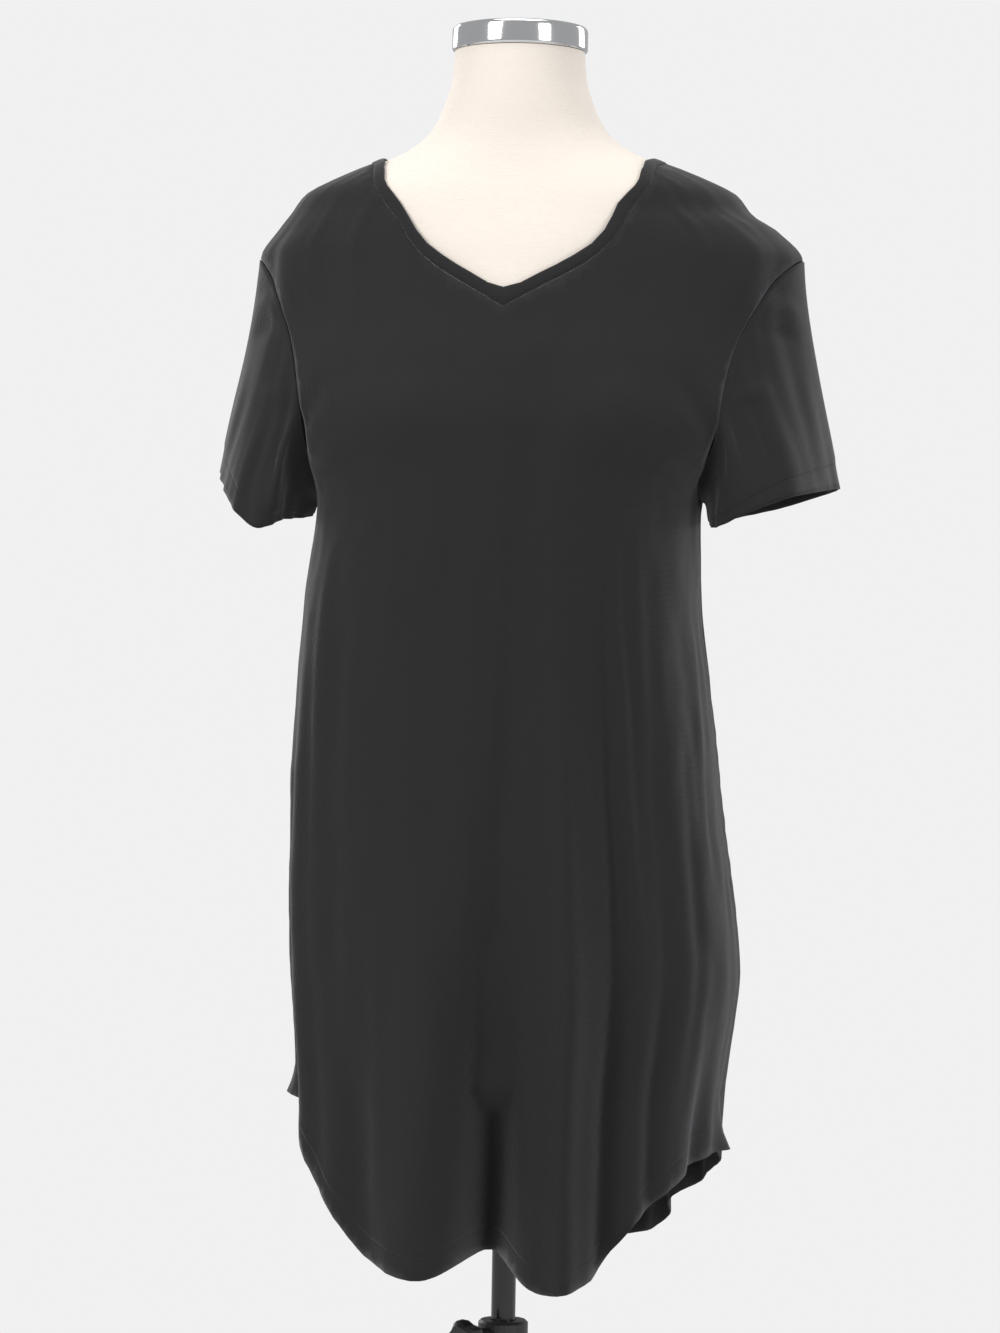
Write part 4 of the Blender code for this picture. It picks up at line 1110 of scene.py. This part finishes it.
def area_light(name, place, target, size, power, colour):
    data = bpy.data.lights.new(name, "AREA")
    data.shape = "RECTANGLE"
    data.size, data.size_y = size
    data.energy = power
    data.color = colour
    lamp = bpy.data.objects.new(name, data)
    lamp.location = place
    lamp.rotation_euler = (Vector(target) - Vector(place)).to_track_quat("-Z", "Y").to_euler()
    bpy.context.scene.collection.objects.link(lamp)


def studio():
    """A pale floor, white surroundings and large soft lights."""
    mesh = bpy.data.meshes.new("floor")
    count = 96
    ring = [(2.6 * math.cos(2 * math.pi * i / count), 2.6 * math.sin(2 * math.pi * i / count), 0.0)
            for i in range(count)]
    mesh.from_pydata(ring, [], [list(range(count))])
    floor = bpy.data.objects.new("floor", mesh)
    pale, _, shader = new_material("pale_floor", 0.9)
    shader.inputs["Base Color"].default_value = (0.80, 0.80, 0.80, 1.0)
    mesh.materials.append(pale)
    bpy.context.scene.collection.objects.link(floor)
    world = bpy.data.worlds.new("studio")
    world.use_nodes = True
    bpy.context.scene.world = world
    tree = world.node_tree
    back = tree.nodes["Background"]
    back.inputs["Color"].default_value = (0.88, 0.88, 0.89, 1.0)
    back.inputs["Strength"].default_value = 0.55
    seen = tree.nodes.new("ShaderNodeBackground")
    seen.inputs["Color"].default_value = (0.875, 0.875, 0.88, 1.0)
    seen.inputs["Strength"].default_value = 1.0
    rays = tree.nodes.new("ShaderNodeLightPath")
    mix = tree.nodes.new("ShaderNodeMixShader")
    tree.links.new(rays.outputs["Is Camera Ray"], mix.inputs[0])
    tree.links.new(back.outputs[0], mix.inputs[1])
    tree.links.new(seen.outputs[0], mix.inputs[2])
    tree.links.new(mix.outputs[0], tree.nodes["World Output"].inputs["Surface"])
    area_light("key", (-1.9, -2.6, 2.3), (0.0, 0.0, 1.05), (1.2, 1.8), 62.0, (1.0, 0.99, 0.98))
    area_light("fill", (2.3, -2.0, 1.7), (0.0, 0.0, 1.0), (1.0, 1.8), 30.0, (0.98, 0.99, 1.0))
    area_light("top", (0.0, -0.3, 3.2), (0.0, 0.0, 1.2), (1.4, 1.4), 22.0, (1.0, 1.0, 1.0))
    area_light("back_left", (-1.8, 1.9, 1.9), (0.0, 0.0, 1.1), (0.8, 1.6), 22.0, (1.0, 1.0, 1.0))
    area_light("back_right", (1.8, 1.9, 1.9), (0.0, 0.0, 1.1), (0.8, 1.6), 22.0, (1.0, 1.0, 1.0))


def photograph_camera():
    data = bpy.data.cameras.new("camera")
    data.lens = CAMERA_LENS
    data.sensor_width = 36.0
    data.clip_end = 50.0
    camera = bpy.data.objects.new("camera", data)
    turn = math.radians(CAMERA_TURN)
    roll = math.radians(CAMERA_ROLL)
    right = Vector((math.cos(turn), math.sin(turn), 0.0))
    back = Vector((math.sin(turn), -math.cos(turn), 0.0))
    up = Vector((0.0, 0.0, 1.0))
    rolled_right = right * math.cos(roll) + up * math.sin(roll)
    rolled_up = up * math.cos(roll) - right * math.sin(roll)
    turned_frame = Matrix((rolled_right, rolled_up, back)).transposed().to_4x4()
    place = back * CAMERA_DISTANCE - right * CAMERA_SIDE_SHIFT + up * CAMERA_HEIGHT
    camera.matrix_world = Matrix.Translation(place) @ turned_frame
    bpy.context.scene.collection.objects.link(camera)
    bpy.context.scene.camera = camera


def dress(frame):
    groups = {"knit": knit_group(), "mottle": mottle_group(), "stitch": stitch_group()}
    black = ((0.0075, 0.0072, 0.0078), (0.0135, 0.0128, 0.0138))
    jersey = knitted("black_jersey_cloth", groups, *black, 0.20, HEM_TURN_UP)
    band = knitted("black_band_cloth", groups, *black, 0.22, BAND_WIDTH * 0.93, columns=900.0, knit=0.8)
    cream = knitted("cream_form_cover", groups, (0.74, 0.67, 0.60), (0.80, 0.74, 0.67), 0.10, None, 700.0, 0.5)
    chrome = polished("polished_cap_metal", groups, (0.60, 0.61, 0.62), (0.70, 0.71, 0.72), 0.10, 1.0)
    steel = polished("gloss_black_steel", groups, (0.008, 0.008, 0.009), (0.014, 0.014, 0.015), 0.22, 0.0, 0.6)
    plastic = polished("moulded_black_plastic", groups, (0.010, 0.010, 0.011), (0.018, 0.018, 0.019), 0.45, 0.0)

    front = body_sheet("shirt_front", front_outline(), jersey)
    back = body_sheet("shirt_back", back_outline(), jersey)
    left = sleeve_sheet("sleeve_left", -1.0, LEFT_CUFF, jersey)
    right = sleeve_sheet("sleeve_right", 1.0, RIGHT_CUFF, jersey)
    neck = neckband_sheet(band)
    cover = form_cover(cream)
    cap = cap_cover(chrome)
    stands_for = {
        front: "front_panel",
        back: "back_panel",
        left: "left_sleeve",
        right: "right_sleeve",
        neck: "neckband",
        cover: "dress_form",
        cap: "neck_cap",
    }
    for piece, node in stands_for.items():
        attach(piece, "dressed_form")
        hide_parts(node)

    finishes = {
        "form_flange": steel,
        "riser_pole": steel,
        "lower_tube": steel,
        "stand_base": steel,
        "clamp_collar": plastic,
        "clamp_knob": plastic,
    }
    for node, finish in finishes.items():
        for place in frame["nodes"][node].material_slots:
            place.material = finish


def main():
    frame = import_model()
    photograph_camera()
    studio()
    dress(frame)
    bpy.context.scene.view_settings.view_transform = "Standard"


main()
